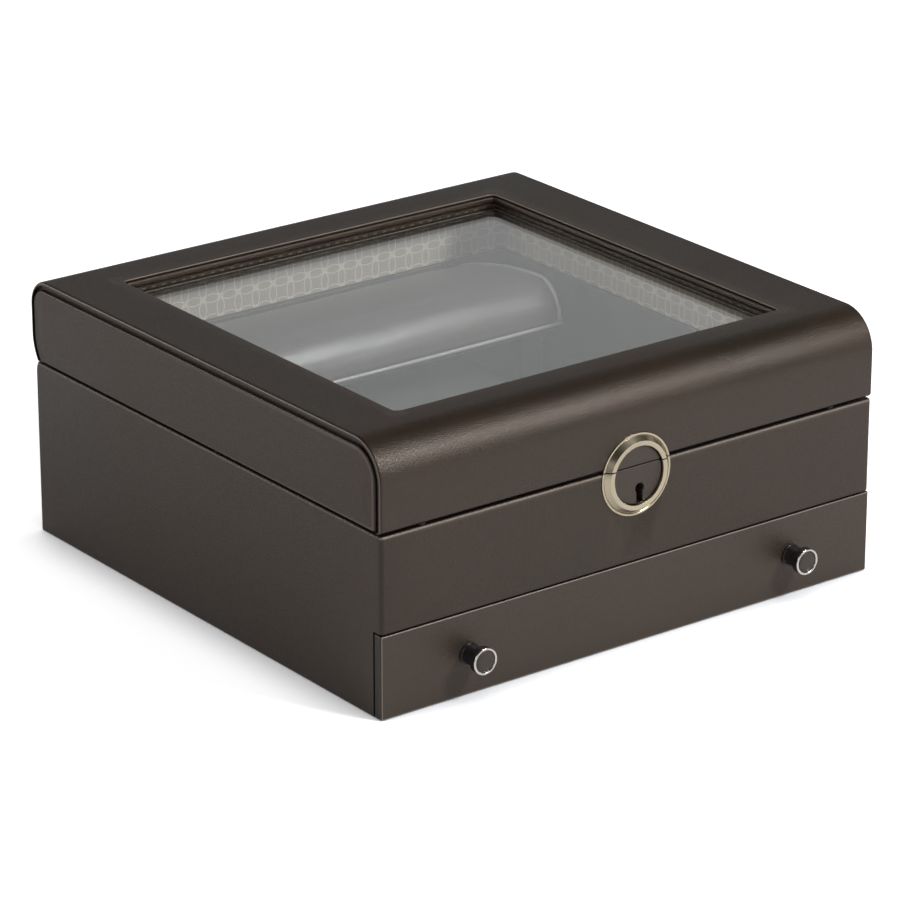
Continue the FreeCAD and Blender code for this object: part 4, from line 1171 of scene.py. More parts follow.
    def _kept(self, grid: np.ndarray) -> np.ndarray:
        """Faces that are leather, and not in the drawer's, key's, lock's or hinges' opening.

        Args:
            grid: The cover's points.

        Returns:
            True for each such face.
        """
        middle = centres(np.concatenate([grid, grid[:, :1]], axis=1))
        x, y, z = np.abs(middle[..., 0]), middle[..., 1], middle[..., 2]
        front, rim = self.low[1], self.high[2]
        past_wall = self.wall + 0.5
        drawer = (z < self.line) & (y < self.notch_y)
        key = (z > self.line + self.key_rise) & (z < rim - self.rear_drop)
        key &= (x < self.key_half) & (y < front + 1.0)
        lock = (y > front + self.lock_setback) & (y < front + past_wall)
        lock &= (x < self.lock_half) & (z > rim - 1.0)
        near, far = self.hinge_gap
        hinge = (x > near) & (x < far) & (y > self.high[1] - past_wall) & (z > rim - self.hinge_room)
        return ~(drawer | key | lock | hinge)

    def _add_flaps(self, sheet: Sheet, grid: np.ndarray) -> None:
        """Add the leather that turns into the drawer's opening, under the rail and at both side ends,
        all painted near-black as shade.

        Args:
            sheet: The cover's sheet.
            grid: The cover's points.
        """
        line, notch_y, front_y, side_x = self.line, self.notch_y, self.low[1], self.high[0]
        row = int(np.argmin(np.abs(grid[:, 0, 2] - line)))
        ring = grid[row]
        front = ring[ring[:, 1] <= notch_y + 0.001]
        halves = []
        for side in (-1.0, 1.0):
            half = front[(front[:, 0] >= 0) == (side > 0)]
            turned_back = half[:, 1] > front_y + 0.001
            halves.append(half[np.argsort(np.where(turned_back, side * (half[:, 1] + 1e3), half[:, 0]))])
        inner_x, inner_y = side_x - self.wall, front_y + self.wall
        inner = [(inner_x, notch_y), (inner_x, inner_y), (-inner_x, inner_y), (-inner_x, notch_y)]
        # These flaps are drawn with the near-black painted shade.
        sheet.cap(np.concatenate([*halves, [(x, y, line) for x, y in inner]]), shade_face=True)
        column = int(np.argmin(np.hypot(ring[:, 0] - side_x, ring[:, 1] - notch_y)))
        edge = grid[:row + 1, column]
        turned_in = np.array([(inner_x, notch_y, line), (inner_x, notch_y, edge[0, 2])])
        for side in (1.0, -1.0):
            sheet.cap(np.concatenate([edge, turned_in]) * (side, 1.0, 1.0), shade_face=True)


# Lid


@dataclass
class LidShape:
    """Side view of the lid, as an open outline from the front underside over the top to the rear."""

    front_roll_r: float = 17.5
    front_lip_r: float = 2.0
    rear_roll_r: float = 12.0
    rear_tuck_r: float = 22.0
    rear_tuck_rise: float = 12.0
    least_lip_r: float = 0.9
    least_r: float = 0.6
    top_stops: tuple[float, ...] = (-105.0, -96.0, -50.0, 0.0, 50.0, 96.8, 105.8)

    def outline(self, inset: Any, rear: Any, lift: Any = 0.0) -> np.ndarray:
        """Outline at each inset from the outer form.

        It runs up the front lip's quarter circle, the front face, the roll's quarter circle, the top,
        the rear roll's quarter circle and the rear's long arc down to the underside. Each circle keeps
        its centre and loses the inset from its radius, down to a least radius that then moves in.

        Args:
            inset: Distances in from the outer form, one per row.
            rear: The same distances at the back.
            lift: How far the bottom is raised, a number or one value per row.

        Returns:
            Array of shape (rows, stations, 2) of y and z.
        """
        (_, front, low), (_, back, high) = span("lid_leather")
        inset, rear, lift = (np.reshape(a, (-1, 1)) for a in (inset, rear, lift))
        bottom = low + lift + 0 * inset
        lip = np.maximum(self.front_lip_r - inset, self.least_lip_r)
        rear_z = low + self.rear_tuck_rise
        tuck = self.rear_tuck_r - rear
        dip = np.degrees(np.arcsin((rear_z - bottom) / tuck))
        top = high - inset
        stops = np.array(self.top_stops)[None, :]
        front_r = np.maximum(self.front_roll_r - inset, self.least_r)
        rear_r = np.maximum(self.rear_roll_r - inset, self.least_r)
        return np.concatenate([
            arc((front + inset + lip, bottom + lip), lip, 270.0, 180.0, 5),
            arc((front + inset + front_r, top - front_r), front_r, 180.0, 90.0, 16),
            np.stack([stops + 0 * top, top + 0 * stops], axis=-1),
            arc((back - rear - rear_r, top - rear_r), rear_r, 90.0, 0.0, 12),
            arc((back - self.rear_tuck_r, rear_z), tuck, 0.0, -dip, 8)], axis=1)


@dataclass
class LidCover:
    """One leather wrap over front, top and back, whose turned lips frame the lid's two sides."""

    shape: LidShape = field(default_factory=LidShape)
    edge_r: float = 1.2
    lip: float = 1.8
    lip_inner_r: float = 0.3
    rear_lip: float = 1.3
    groove_reach: float = 6.5
    wall: float = 8.0
    thickness: float = 0.5
    moulding: float = 2.0
    window_r: float = 3.0
    window_edge_r: float = 0.7
    window_ring: float = 6.0
    leather_edge: float = 0.95
    corner_steps: int = 8
    front_stop: float = 36.0
    hinge_gap: Pair = (59.5, 90.5)
    hinge_room: float = 2.3
    strike_gap: Pair = (13.3, 5.1)
    # Painted light: the lip's faces past its round, down into the groove, are painted near-black as shade;
    # round each lip's edge a painted highlight line and a painted shade band; painted shade along the bottom
    # edge; a painted highlight along the window's edge.
    shade_face_from: float = 1.05
    shade_turn: Pair = (74.0, 8.0)
    crest: float = 0.66
    highlight_at: Pair = (62.0, 8.0)
    lip_shade: float = 0.75
    lip_shade_at: Pair = (28.0, 15.0)
    window_crest: float = 0.6
    window_crest_at: Pair = (0.45, 0.3)
    bottom_shade: float = 0.8
    bottom_reach: float = 0.5
    end_play: float = 0.2
    end_bevel: float = 0.15
    end_r: float = 0.3

    def __post_init__(self) -> None:
        """Read the lid's box, the groove's floor and the window."""
        self.low, self.high = span("lid_leather")
        self.floor_x = span("lid_side_pad_right")[0][0]
        low, high = span("window_moulding")
        self.window = low[:2] + self.moulding, high[:2] - self.moulding

    def build(self) -> None:
        """Make the wrap with its window, and the blocks under the lid's sides."""
        x, inset = self._columns()
        past_edge = np.clip(inset - self.edge_r, 0.0, self.lip - self.edge_r)
        past_lip = np.maximum(inset - self.lip, 0.0)
        slack = (self.rear_lip - self.edge_r) / (self.lip - self.edge_r)
        stations = self.shape.outline(inset, np.minimum(inset, self.edge_r) + past_edge * slack + past_lip)
        inner = self.low[1] + self.wall
        under = (inner, inner - self.strike_gap[1], -inner)
        first, second, last = (np.broadcast_to((y, self.low[2]), (len(x), 1, 2)) for y in under)
        grid = lifted(np.concatenate([first, second, stations, last], axis=1), x, 0)
        # Faces past the lip's round, down into the groove, are painted near-black as shade.
        groove_shade_faces = (inset[:-1] + inset[1:])[None, :] / 2 > self.shade_face_from
        wear = self._wear(x, inset, grid)
        sheet = Sheet().grid(np.swapaxes(grid, 0, 1), keep=self._kept(grid).T, wear=wear.T, shade_face=groove_shade_faces)
        self._add_window(sheet)
        piece = sheet.object("lid_cover")
        thicken(piece, self.thickness)
        settle(piece, "lid", "cover_leather", ["lid_leather"])
        self._add_lip_ends(grid[len(x) // 2, -2, 1])

    def _wear(self, x: np.ndarray, inset: np.ndarray, grid: np.ndarray) -> np.ndarray:
        """Painted highlight, painted shade band and near-black painted shade on each lip, and painted shade
        along the bottom edge.

        The painted highlight and the shade band are bell curves of the angle round the lip's edge, which
        is the arc cosine of one less the inset over the edge's radius.

        Args:
            x: Place of each column.
            inset: Inset of each column.
            grid: The wrap's points.

        Returns:
            The painted light of each point.
        """
        turn = np.degrees(np.arccos(np.clip(1 - inset / self.edge_r, 0.0, 1.0)))
        past = np.clip((turn - self.shade_turn[0]) / self.shade_turn[1], 0.0, 1.0)
        lip = self.crest * bell(turn, *self.highlight_at) - self.lip_shade * bell(turn, *self.lip_shade_at)
        lip = (lip - PAINTED_SHADE_LEVEL * past) * (np.abs(x) > self.high[0] - self.edge_r)
        bottom = bell(grid[..., 2], self.low[2], self.bottom_reach) * (grid[..., 1] < 0)
        return np.where(bottom > 0.05, -self.bottom_shade * bottom, lip[:, None])

    def _add_lip_ends(self, heel: float) -> None:
        """Close the lower ends of the lips with small blocks, and lay a strip under each side board.

        Args:
            heel: Second coordinate of the rear's lower end.
        """
        play, side_x = self.end_play, self.high[0] - self.end_play
        toe, inner_y = self.low[1] + self.shape.front_lip_r, -self.low[1] - self.wall
        blocks = [
            (self.floor_x + play, side_x, toe, toe + self.lip),
            (self.floor_x + play, side_x, heel - self.rear_lip - play, heel - play),
            (self.high[0] - self.wall, self.floor_x - play, -inner_y, inner_y)]
        levels = self.low[2] + np.array([play, play, self.thickness, self.thickness])
        inset = np.array([self.end_bevel, 0.0, 0.0, self.end_bevel])
        sheet = Sheet()
        for x0, x1, y0, y1 in blocks:
            low, high = (x0 + inset, y0 + inset), (x1 - inset, y1 - inset)
            block = lifted(rounded_rings(low, high, self.end_r, [], [], 3), levels)
            for side in (1.0, -1.0):
                mirrored = block * (side, 1.0, 1.0)
                sheet.grid(mirrored, wrap=True).cap(mirrored[0]).cap(mirrored[-1])
        settle(sheet.object("lid_lip_ends"), "lid", "cover_leather")

    def _columns(self) -> tuple[np.ndarray, np.ndarray]:
        """Columns from the left groove to the right one.

        Each end rounds over with a quarter circle, runs flat across the lip, turns in round a small
        quarter circle and goes down to the groove's floor.

        Returns:
            Place and inset of each column.
        """
        half, turn_r = self.high[0], self.lip_inner_r
        edge_in, edge_up = quarter(self.edge_r, 9)
        turn_in, turn_up = quarter(turn_r, 3)
        near_floor = self.floor_x + turn_r
        end_x = np.concatenate([
            half - self.edge_r + edge_up, [half], half - turn_in[1:], [near_floor, *[self.floor_x] * 3]])
        end_inset = np.concatenate([
            edge_in, [self.lip - turn_r], self.lip - turn_r + turn_up[1:],
            [self.lip, self.lip + 0.3, self.lip + 2.0, self.groove_reach]])
        window_x = self.window[1][0]
        stops = [0.0, self.strike_gap[0], self.front_stop, *self.hinge_gap, window_x - self.window_r,
                 window_x + self.window_ring, half - self.wall, self.floor_x]
        right = np.concatenate([stops, end_x])
        inset = np.concatenate([end_inset[::-1], np.zeros(2 * len(stops) - 1), end_inset])
        return np.concatenate([-right[:0:-1], right]), inset

    def _kept(self, grid: np.ndarray) -> np.ndarray:
        """Faces that are leather, and not in the window or the hinges' or lock's opening.

        Args:
            grid: The wrap's points.

        Returns:
            True for each such face.
        """
        middle = centres(grid)
        x, y, z = np.abs(middle[..., 0]), middle[..., 1], middle[..., 2]
        first, *_, last = self.shape.top_stops
        ring_x = self.window[1][0] + self.window_ring
        window = (x < ring_x) & (y > first) & (y < last) & (z > self.high[2] - TOUCH)
        under = z < self.low[2] + TOUCH
        near, far = self.hinge_gap
        hinge = (x > near) & (x < far) & (y > 0) & (z < self.low[2] + self.hinge_room)
        strike_x, strike_y = self.strike_gap
        strike = (x < strike_x) & under & (y < 0) & (y > self.low[1] + self.wall - strike_y)
        return ~(window | (under & (x > self.floor_x + TOUCH)) | hinge | strike)

    def _add_window(self, sheet: Sheet) -> None:
        """Add the flat ring round the window, its rounded edge and the corner pieces outside it.

        Args:
            sheet: The wrap's sheet.
        """
        (x0, y0), (x1, y1) = self.window
        top, reach, steps, edge = self.high[2], self.window_ring, self.corner_steps, self.window_edge_r
        edge_in, edge_up = quarter(edge, 5)
        offset = np.concatenate([[reach, edge + 0.4], edge - edge_up, [0.0]])
        drop = np.concatenate([[0.0, 0.0], edge_in, [self.leather_edge]])
        stops = both_ways([self.strike_gap[0], self.front_stop, *self.hinge_gap], [0.0])
        start, end = y0 + self.window_r, y1 - self.window_r
        shares = [(y - start) / (end - start) for y in self.shape.top_stops[2:-2]]
        rings = rounded_rings(
            (x0 - offset, y0 - offset), (x1 + offset, y1 + offset), self.window_r + offset,
            stops, shares, steps)
        grid = lifted(rings, top - drop)
        # Painted highlight along the window's rounded edge.
        sheet.grid(grid, wrap=True, wear=self.window_crest * bell(drop / edge, *self.window_crest_at))
        stretches = [len(stops), len(shares), len(stops)]
        starts = np.cumsum([0, *(steps + 1 + count for count in stretches)])
        corners = [(x0 - reach, y0 - reach), (x1 + reach, y0 - reach), (x1 + reach, y1 + reach),
                   (x0 - reach, y1 + reach)]
        for first, corner in zip(starts, corners):
            sheet.fan(np.array([*corner, top]), grid[0, first:first + steps + 1])


@dataclass
class LidPads:
    """Padded leather panels inlaid in the lid's sides."""

    shape: LidShape = field(default_factory=LidShape)
    lip: float = 1.8
    groove: float = 2.6
    rear_lip: float = 1.3
    rear_groove: float = 0.6
    edge_r: float = 0.9
    foot_in: float = 0.6
    foot_lift: float = 0.35
    crown: float = 0.35
    crown_reach: float = 7.5
    # Painted light: a painted highlight along the panel's edge, fading towards the rear, and painted shade
    # down into the groove, where the deepest faces are painted near-black.
    shade: float = 0.85
    shade_depth: float = 0.12
    shade_face_depth: float = 0.1
    crest: float = 0.22
    highlight_width: float = 0.5
    highlight_fade: Pair = (60.0, -90.0)

    def build(self) -> None:
        """Make each panel from closed outlines that shrink as they rise to its crowned face.

        Past the rounded edge the face rises by the crown times a smooth step of the distance in.
        """
        low, high = span("lid_side_pad_right")
        edge_in, edge_up = quarter(self.edge_r, 5)
        reach = np.linspace(0.0, self.crown_reach, 7)[1:]
        share = reach / self.crown_reach
        rise = self.crown * share * share * (3 - 2 * share)
        top = high[0] - self.crown
        shrink = np.concatenate([[self.foot_in, 0.0], edge_in, self.edge_r + reach])
        height = np.concatenate([[low[0], low[0]], top - self.edge_r + edge_up, top + rise])
        lift = np.clip(shrink, 0.0, self.foot_lift) + np.maximum(shrink - self.edge_r, 0.0)
        lift[0] = 0.0
        outline = self.shape.outline(
            self.lip + self.groove + shrink, self.rear_lip + self.rear_groove + shrink, lift)
        depth = top - height
        # Painted highlight near the edge, and painted shade that deepens into the groove.
        near_edge = self.crest * bell(shrink, self.edge_r, self.highlight_width) * (depth < self.shade_depth)
        rear, front = self.highlight_fade
        forward = np.clip((outline[..., 0] - rear) / (front - rear), 0.0, 1.0)
        shaded = self.shade * np.clip(depth / self.shade_depth, 0.0, 1.0)
        wear = near_edge[:, None] * forward - shaded[:, None]
        shade_face = (depth[:-1] + depth[1:]) / 2 > self.shade_face_depth
        for side, word in ((1.0, "right"), (-1.0, "left")):
            grid = lifted(outline, side * height, 0)
            sheet = Sheet().grid(grid, wrap=True, wear=wear, shade_face=shade_face).cap(grid[0], shade_face=True).cap(grid[-1])
            settle(sheet.object("lid_pad_" + word), "lid", "cover_leather", ["lid_side_pad_" + word])


@dataclass
class WindowBead:
    """Leather moulding round the window: a half-round bead over a short wall, mitred at the corners."""

    outer: float = 2.0
    proud: float = 0.8
    bead: float = 3.2
    bead_r: float = 1.3
    # The wall below this depth is painted near-black as shade.
    dark_below: float = 2.1
    corner_r: float = 3.0
    mitre_depth: float = 0.35
    mitre_width: float = 7.0

    def build(self) -> None:
        """Make the moulding by carrying its profile round the window.

        At each corner the profile steps back by the mitre's depth times a bell curve of the angle
        from the diagonal.
        """
        low, high = span("window_moulding")
        glass, top = low[2], high[2]
        upper_in, upper_up = quarter(self.bead_r, 6)
        centre = self.bead_r - self.proud
        offset = np.concatenate([
            [self.outer, centre + 0.4], centre - upper_up, centre - upper_up[::-1],
            [0.35, 0.0, 0.0, self.outer]])
        foot = top - self.bead
        height = np.concatenate([
            [top, top], top - upper_in, foot + upper_in[::-1], [foot, foot - 0.25, glass, glass]])
        window = np.array([low[:2] + self.outer, high[:2] - self.outer])
        rings = rounded_rings(
            [a - offset for a in window[0]], [a + offset for a in window[1]], self.corner_r + offset,
            [-60.0, 0.0, 60.0], [0.25, 0.5, 0.75], 16)
        away = rings - np.clip(rings, window[0] + self.corner_r, window[1] - self.corner_r)
        reach = np.linalg.norm(away, axis=-1, keepdims=True)
        angle = np.degrees(np.arctan2(np.abs(away[..., 1:]), np.abs(away[..., :1])))
        notch = self.mitre_depth * bell(angle, 45.0, self.mitre_width) * (reach < self.corner_r)
        grid = lifted(rings + away / np.maximum(reach, TOUCH) * notch, height)
        # The wall under the bead is painted near-black as shade.
        wall = (height + np.roll(height, -1)) / 2 < top - self.dark_below
        piece = Sheet().grid(grid, wrap=True, wrap_rows=True, shade_face=wall).object("window_bead", 50.0)
        settle(piece, "lid", "moulding_leather", ["window_moulding"])


# Lock plate


@dataclass
class LockPlate:
    """Round metal ring with a leather inlay, both split along the parting of lid and case."""

    flat: float = 2.1
    rim_width: float = 1.1
    rim_height: float = 0.5
    rim_step: float = 0.05
    rim_round: float = 0.3
    bevel_foot: float = 0.15
    edge: float = 0.25
    hole_r: float = 12.9
    inlay_r: float = 12.72
    inlay: float = 1.15
    inlay_edge: float = 0.35
    inlay_flat: float = 0.9
    upper_hub: float = 3.5
    key_r: float = 2.2
    key_slot: float = 3.2
    key_length: float = 6.3
    key_x: float = 1.2
    key_drop: float = 6.1
    sleeve: float = 5.0
    sleeve_lap: float = 0.4
    sleeve_play: float = 0.04
    split: float = 0.5
    steps: int = 72

    def __post_init__(self) -> None:
        """Read the ring's size and place, and the parting's height."""
        low, high = span("escutcheon_lower")
        self.radius = (high[0] - low[0]) / 2
        self.face = high[1] - low[1]
        self.base_y = high[1]
        self.centre_z = low[2] + self.radius
        self.line_z = (high[2] + span("escutcheon_upper")[0][2]) / 2

    def build(self) -> None:
        """Make both halves of the ring and of its inlay."""
        profile = self._profile()
        # The ring's walls, its low outer edge and its cut ends are painted near-black as shade.
        following = np.roll(profile, -1, axis=0)
        walls = (profile[:, 1] + following[:, 1]) / 2 < self.edge / 2
        walls |= following[:, 0] < profile[:, 0]
        walls[-1] = True
        for name, body, upper in (("lower", "case", False), ("upper", "lid", True)):
            cut = self.line_z + (self.split if upper else -self.split) / 2 - self.centre_z
            grid = self._half_ring(profile, cut, upper)
            sheet = Sheet().grid(grid, wrap_rows=True, shade_face=walls)
            sheet.cap(grid[:, 0], shade_face=True).cap(grid[:, -1], shade_face=True)
            settle(sheet.object("lock_ring_" + name, 28.0), body, "antique_nickel", ["escutcheon_" + name])
            disc = self._half_disc(cut, upper)
            settle(disc.object("lock_inlay_" + name), body, "inlay_leather", ["escutcheon_inlay_" + name])

    def _placed(self, across: Any, height: Any, up: Any) -> np.ndarray:
        """Points at a distance across and up from the plate's centre and a height off its base."""
        parts = np.broadcast_arrays(across, self.base_y - height, self.centre_z + up)
        return np.stack(parts, axis=-1)

    def _profile(self) -> np.ndarray:
        """Ring's section: inner wall, flat, steep bevel and low round rim.

        Returns:
            Array of (radius, height) pairs.
        """
        flat_r = self.hole_r + self.flat
        rim_r = self.radius - self.rim_width
        share = np.linspace(0.0, 1.0, 7)
        bevel = np.stack([
            flat_r + (rim_r - flat_r) * share, self.face + (self.bevel_foot - self.face) * share], axis=1)
        edge_in, edge_up = quarter(self.edge, 3)
        inner = np.stack([self.hole_r + edge_in, self.face - self.edge + edge_up], axis=1)
        rim_hub = (rim_r + self.rim_round + self.rim_step, self.rim_height - self.rim_round)
        rim_top = arc(rim_hub, self.rim_round, 180.0, 90.0, 4)[0]
        outer = np.stack([self.radius - edge_in[::-1], self.rim_height - self.edge + edge_up[::-1]], axis=1)
        ends = [(self.radius, 0.0), (self.hole_r, 0.0)]
        return np.concatenate([inner, bevel, rim_top, outer, ends])

    def _half_ring(self, profile: np.ndarray, cut: float, upper: bool) -> np.ndarray:
        """Ring above or below a level cut.

        At radius r the cut is met at the angle whose sine is the cut over r, so the half's angles
        run evenly from there round to the same height on the other side.

        Args:
            profile: The ring's section.
            cut: Height of the cut above the plate's centre.
            upper: Whether the half is the one above the cut.

        Returns:
            Array of shape (profile points, steps + 1, 3).
        """
        radius, height = profile[:, 0:1], profile[:, 1:2]
        meet = np.arcsin(cut / radius)
        sweep = math.pi - 2 * meet if upper else -(math.pi + 2 * meet)
        angle = meet + sweep * np.linspace(0.0, 1.0, self.steps + 1)[None, :]
        return self._placed(radius * np.cos(angle), height, radius * np.sin(angle))

    def _half_disc(self, cut: float, upper: bool) -> Sheet:
        """Inlay above or below the cut, as rings between an inner and an outer outline.

        The outer outline is where a ray from the hub meets the circle or the cut, whichever is
        nearer. The inner one is the keyhole below the cut, and a point above it.

        Args:
            cut: Height of the cut above the plate's centre.
            upper: Whether the half is the one above the cut.

        Returns:
            The half's sheet, with the keyhole's sleeve below the cut.
        """
        hub = np.array([0.0, cut + self.upper_hub]) if upper else np.array([self.key_x, -self.key_drop])
        angle = np.linspace(0.0, 2 * math.pi, 4 * self.steps, endpoint=False)
        ray = np.stack([np.cos(angle), np.sin(angle)], axis=1)
        along = ray @ hub
        outer = -along + np.sqrt(along ** 2 - hub @ hub + self.inlay_r ** 2)
        gap = cut - hub[1]
        with np.errstate(divide="ignore"):
            outer = np.minimum(outer, np.where(ray[:, 1] * gap > 0, gap / ray[:, 1], np.inf))
        inner = np.full_like(outer, TOUCH) if upper else self._keyhole(ray)
        edge_in, edge_up = quarter(self.inlay_edge, 3)
        rise = np.concatenate([[0.0], self.inlay - self.inlay_edge + edge_up, [self.inlay]])
        step = np.concatenate([[0.0], edge_in, [self.inlay_flat]])[:, None]
        reach = np.concatenate([inner + step, (outer - step)[::-1]])
        height = np.concatenate([rise, rise[::-1]])
        flat = hub + reach[..., None] * ray
        grid = self._placed(flat[..., 0], height[:, None], flat[..., 1])
        # The inlay's walls, and the keyhole's sleeve below, are painted near-black as shade.
        walls = np.minimum(height, np.roll(height, -1)) == 0
        sheet = Sheet().grid(grid, wrap=True, wrap_rows=True, shade_face=walls)
        if not upper:
            bore = hub + (inner - self.sleeve_play)[:, None] * ray
            sleeve = self._placed(bore[:, 0], np.array([[self.sleeve_lap], [-self.sleeve]]), bore[:, 1])
            sheet.grid(sleeve, wrap=True, shade_face=True).cap(sleeve[-1], shade_face=True)
        return sheet

    def _keyhole(self, ray: np.ndarray) -> np.ndarray:
        """Distance from the keyhole's hub to its edge: a circle joined to a slot that hangs down.

        Within the slot a ray leaves through its side at half the slot over the ray's x part, or
        through its foot at the slot's length over the ray's y part.

        Args:
            ray: Unit vectors from the hub.

        Returns:
            The distance along each.
        """
        with np.errstate(divide="ignore"):
            side = np.abs(self.key_slot / 2 / ray[:, 0])
            foot = np.where(ray[:, 1] < 0, self.key_length / np.maximum(-ray[:, 1], 1e-9), 0.0)
        return np.maximum(self.key_r, np.minimum(side, foot))


# Drawer


@dataclass
class DrawerFront:
    """Leather round the drawer's face board."""

    edge_r: float = 0.8
    corner_r: float = 0.6
    least_r: float = 0.05
    back_r: float = 0.3
    leather: float = 1.0
    flat: float = 0.4
    # Painted light: a painted highlight along the front's rounded edge, and painted shade on the faces set
    # back past dark_from, seen through the gap.
    crest: float = 0.9
    highlight_at: Pair = (0.134, 0.08)
    dark_from: float = 0.4

    def build(self) -> None:
        """Make the cover as rings from the board's front, out over the back edge and to the face."""
        low, high = span("drawer_face_leather")
        front, back = low[1], high[1]
        edge_in, edge_up = quarter(self.edge_r, 6)
        fold_in, fold_up = quarter(self.back_r, 3)
        inset = np.concatenate([
            [self.leather, self.leather, self.leather - 0.2], fold_in[::-1], edge_in,
            [self.edge_r + self.flat]])
        y = np.concatenate([
            [front + self.leather, back, back], back - self.back_r + fold_up[::-1],
            front + self.edge_r - edge_up, [front]])
        rings = rounded_rings(
            (low[0] + inset, low[2] + inset), (high[0] - inset, high[2] - inset),
            np.maximum(self.corner_r - inset, self.least_r), [-86.0, 0.0, 86.0], [0.5], 4)
        grid = lifted(rings, y, 1)
        setback = (y - front) / self.edge_r
        # Faces set back are painted dark as shade; the front's edge gets a painted highlight.
        wear = np.where(setback > self.dark_from, -PAINTED_SHADE_LEVEL, self.crest * bell(setback, *self.highlight_at))
        sheet = Sheet().grid(grid, wrap=True, wear=wear).cap(grid[0]).cap(grid[-1])
        settle(sheet.object("drawer_front_cover"), "drawer", "cover_leather", ["drawer_face_leather"])


@dataclass
class Knobs:
    """Turned black knobs with a metal rim and a leather face."""

    foot_r: float = 4.65
    foot: float = 0.9
    foot_edge: float = 0.3
    neck_r: float = 4.35
    fillet: float = 0.5
    shoulder: float = 1.1
    head_r: float = 5.8
    head: float = 3.6
    head_edge: float = 0.15
    rim: float = 1.0
    rim_proud: float = 0.5
    rim_lift: float = 0.1
    face_drop: float = 0.25
    face_edge: float = 0.15
    recess: float = 0.45
    steps: int = 64

    def build(self) -> None:
        """Make both knobs, their rims and their faces."""
        low, high = span("drawer_knob_right")
        place = np.array([(low[0] + high[0]) / 2, high[1], (low[2] + high[2]) / 2])
        seat = high[1] - low[1]
        body, rim, face, recess = self._profiles(seat)
        rims, faces = Sheet(), Sheet()
        for side, word in ((1.0, "right"), (-1.0, "left")):
            knob, ring, disc = (turned(p, self.steps) + place * (side, 1.0, 1.0) for p in (body, rim, face))
            piece = Sheet().grid(knob, wrap=True).object("turned_knob_" + word, 40.0)
            settle(piece, "drawer", "knob_black", ["drawer_knob_" + word])
            rims.grid(ring, wrap=True, wrap_rows=True)
            # The face's recess is painted near-black as shade.
            faces.grid(disc, wrap=True, shade_face=recess)
        settle(rims.object("knob_rims", 60.0), "drawer", "bright_nickel", ["knob_rings"])
        settle(faces.object("knob_faces", 50.0), "drawer", "inlay_leather", ["knob_inlays"])

    def _profiles(self, seat: float) -> tuple[np.ndarray, ...]:
        """Profiles as (radius, height) from the drawer's face outwards.

        Args:
            seat: Height of the seat that the rim and the face lie on.

        Returns:
            Profiles of knob, rim and face, and which faces of the last are painted near-black as shade in
            its recess.
        """
        length = seat + self.rim_proud
        neck_top = length - self.head - self.shoulder
        edge = self.foot_edge
        foot_edge = arc((self.foot_r - edge, self.foot - edge), edge, 0.0, 90.0, 3)[0]
        fillet = arc((self.neck_r + self.fillet, self.foot + self.fillet), self.fillet, 270.0, 180.0, 4)[0]
        shoulder = arc((self.head_r - 1.0, neck_top + self.shoulder + 0.5), 1.0, 300.0, 360.0, 5)[0]
        body = np.concatenate([
            [(0.0, 0.0), (self.foot_r, 0.0)], foot_edge, fillet, [(self.neck_r, neck_top)], shoulder,
            [(self.head_r, seat - self.head_edge), (self.head_r - self.head_edge, seat), (0.0, seat)]])
        inner_r = self.head_r - self.rim
        crest = arc((self.head_r - self.rim / 2, seat + self.rim_lift), self.rim / 2, 0.0, 180.0, 8)[0]
        crest[:, 1] = np.minimum(crest[:, 1], length)
        rim = np.concatenate([[(inner_r, seat), (self.head_r, seat)], crest])
        face_z, face_r, floor = length - self.face_drop, inner_r - self.recess, seat + 0.05
        face = np.array([
            (0.0, seat), (inner_r, seat), (inner_r, floor), (face_r, floor), (face_r, face_z - 0.1),
            (face_r - self.face_edge, face_z), (face_r * 0.5, face_z + 0.05), (0.0, face_z + 0.06)])
        return body, rim, face, np.arange(len(face) - 1) < 4


# Watch bar


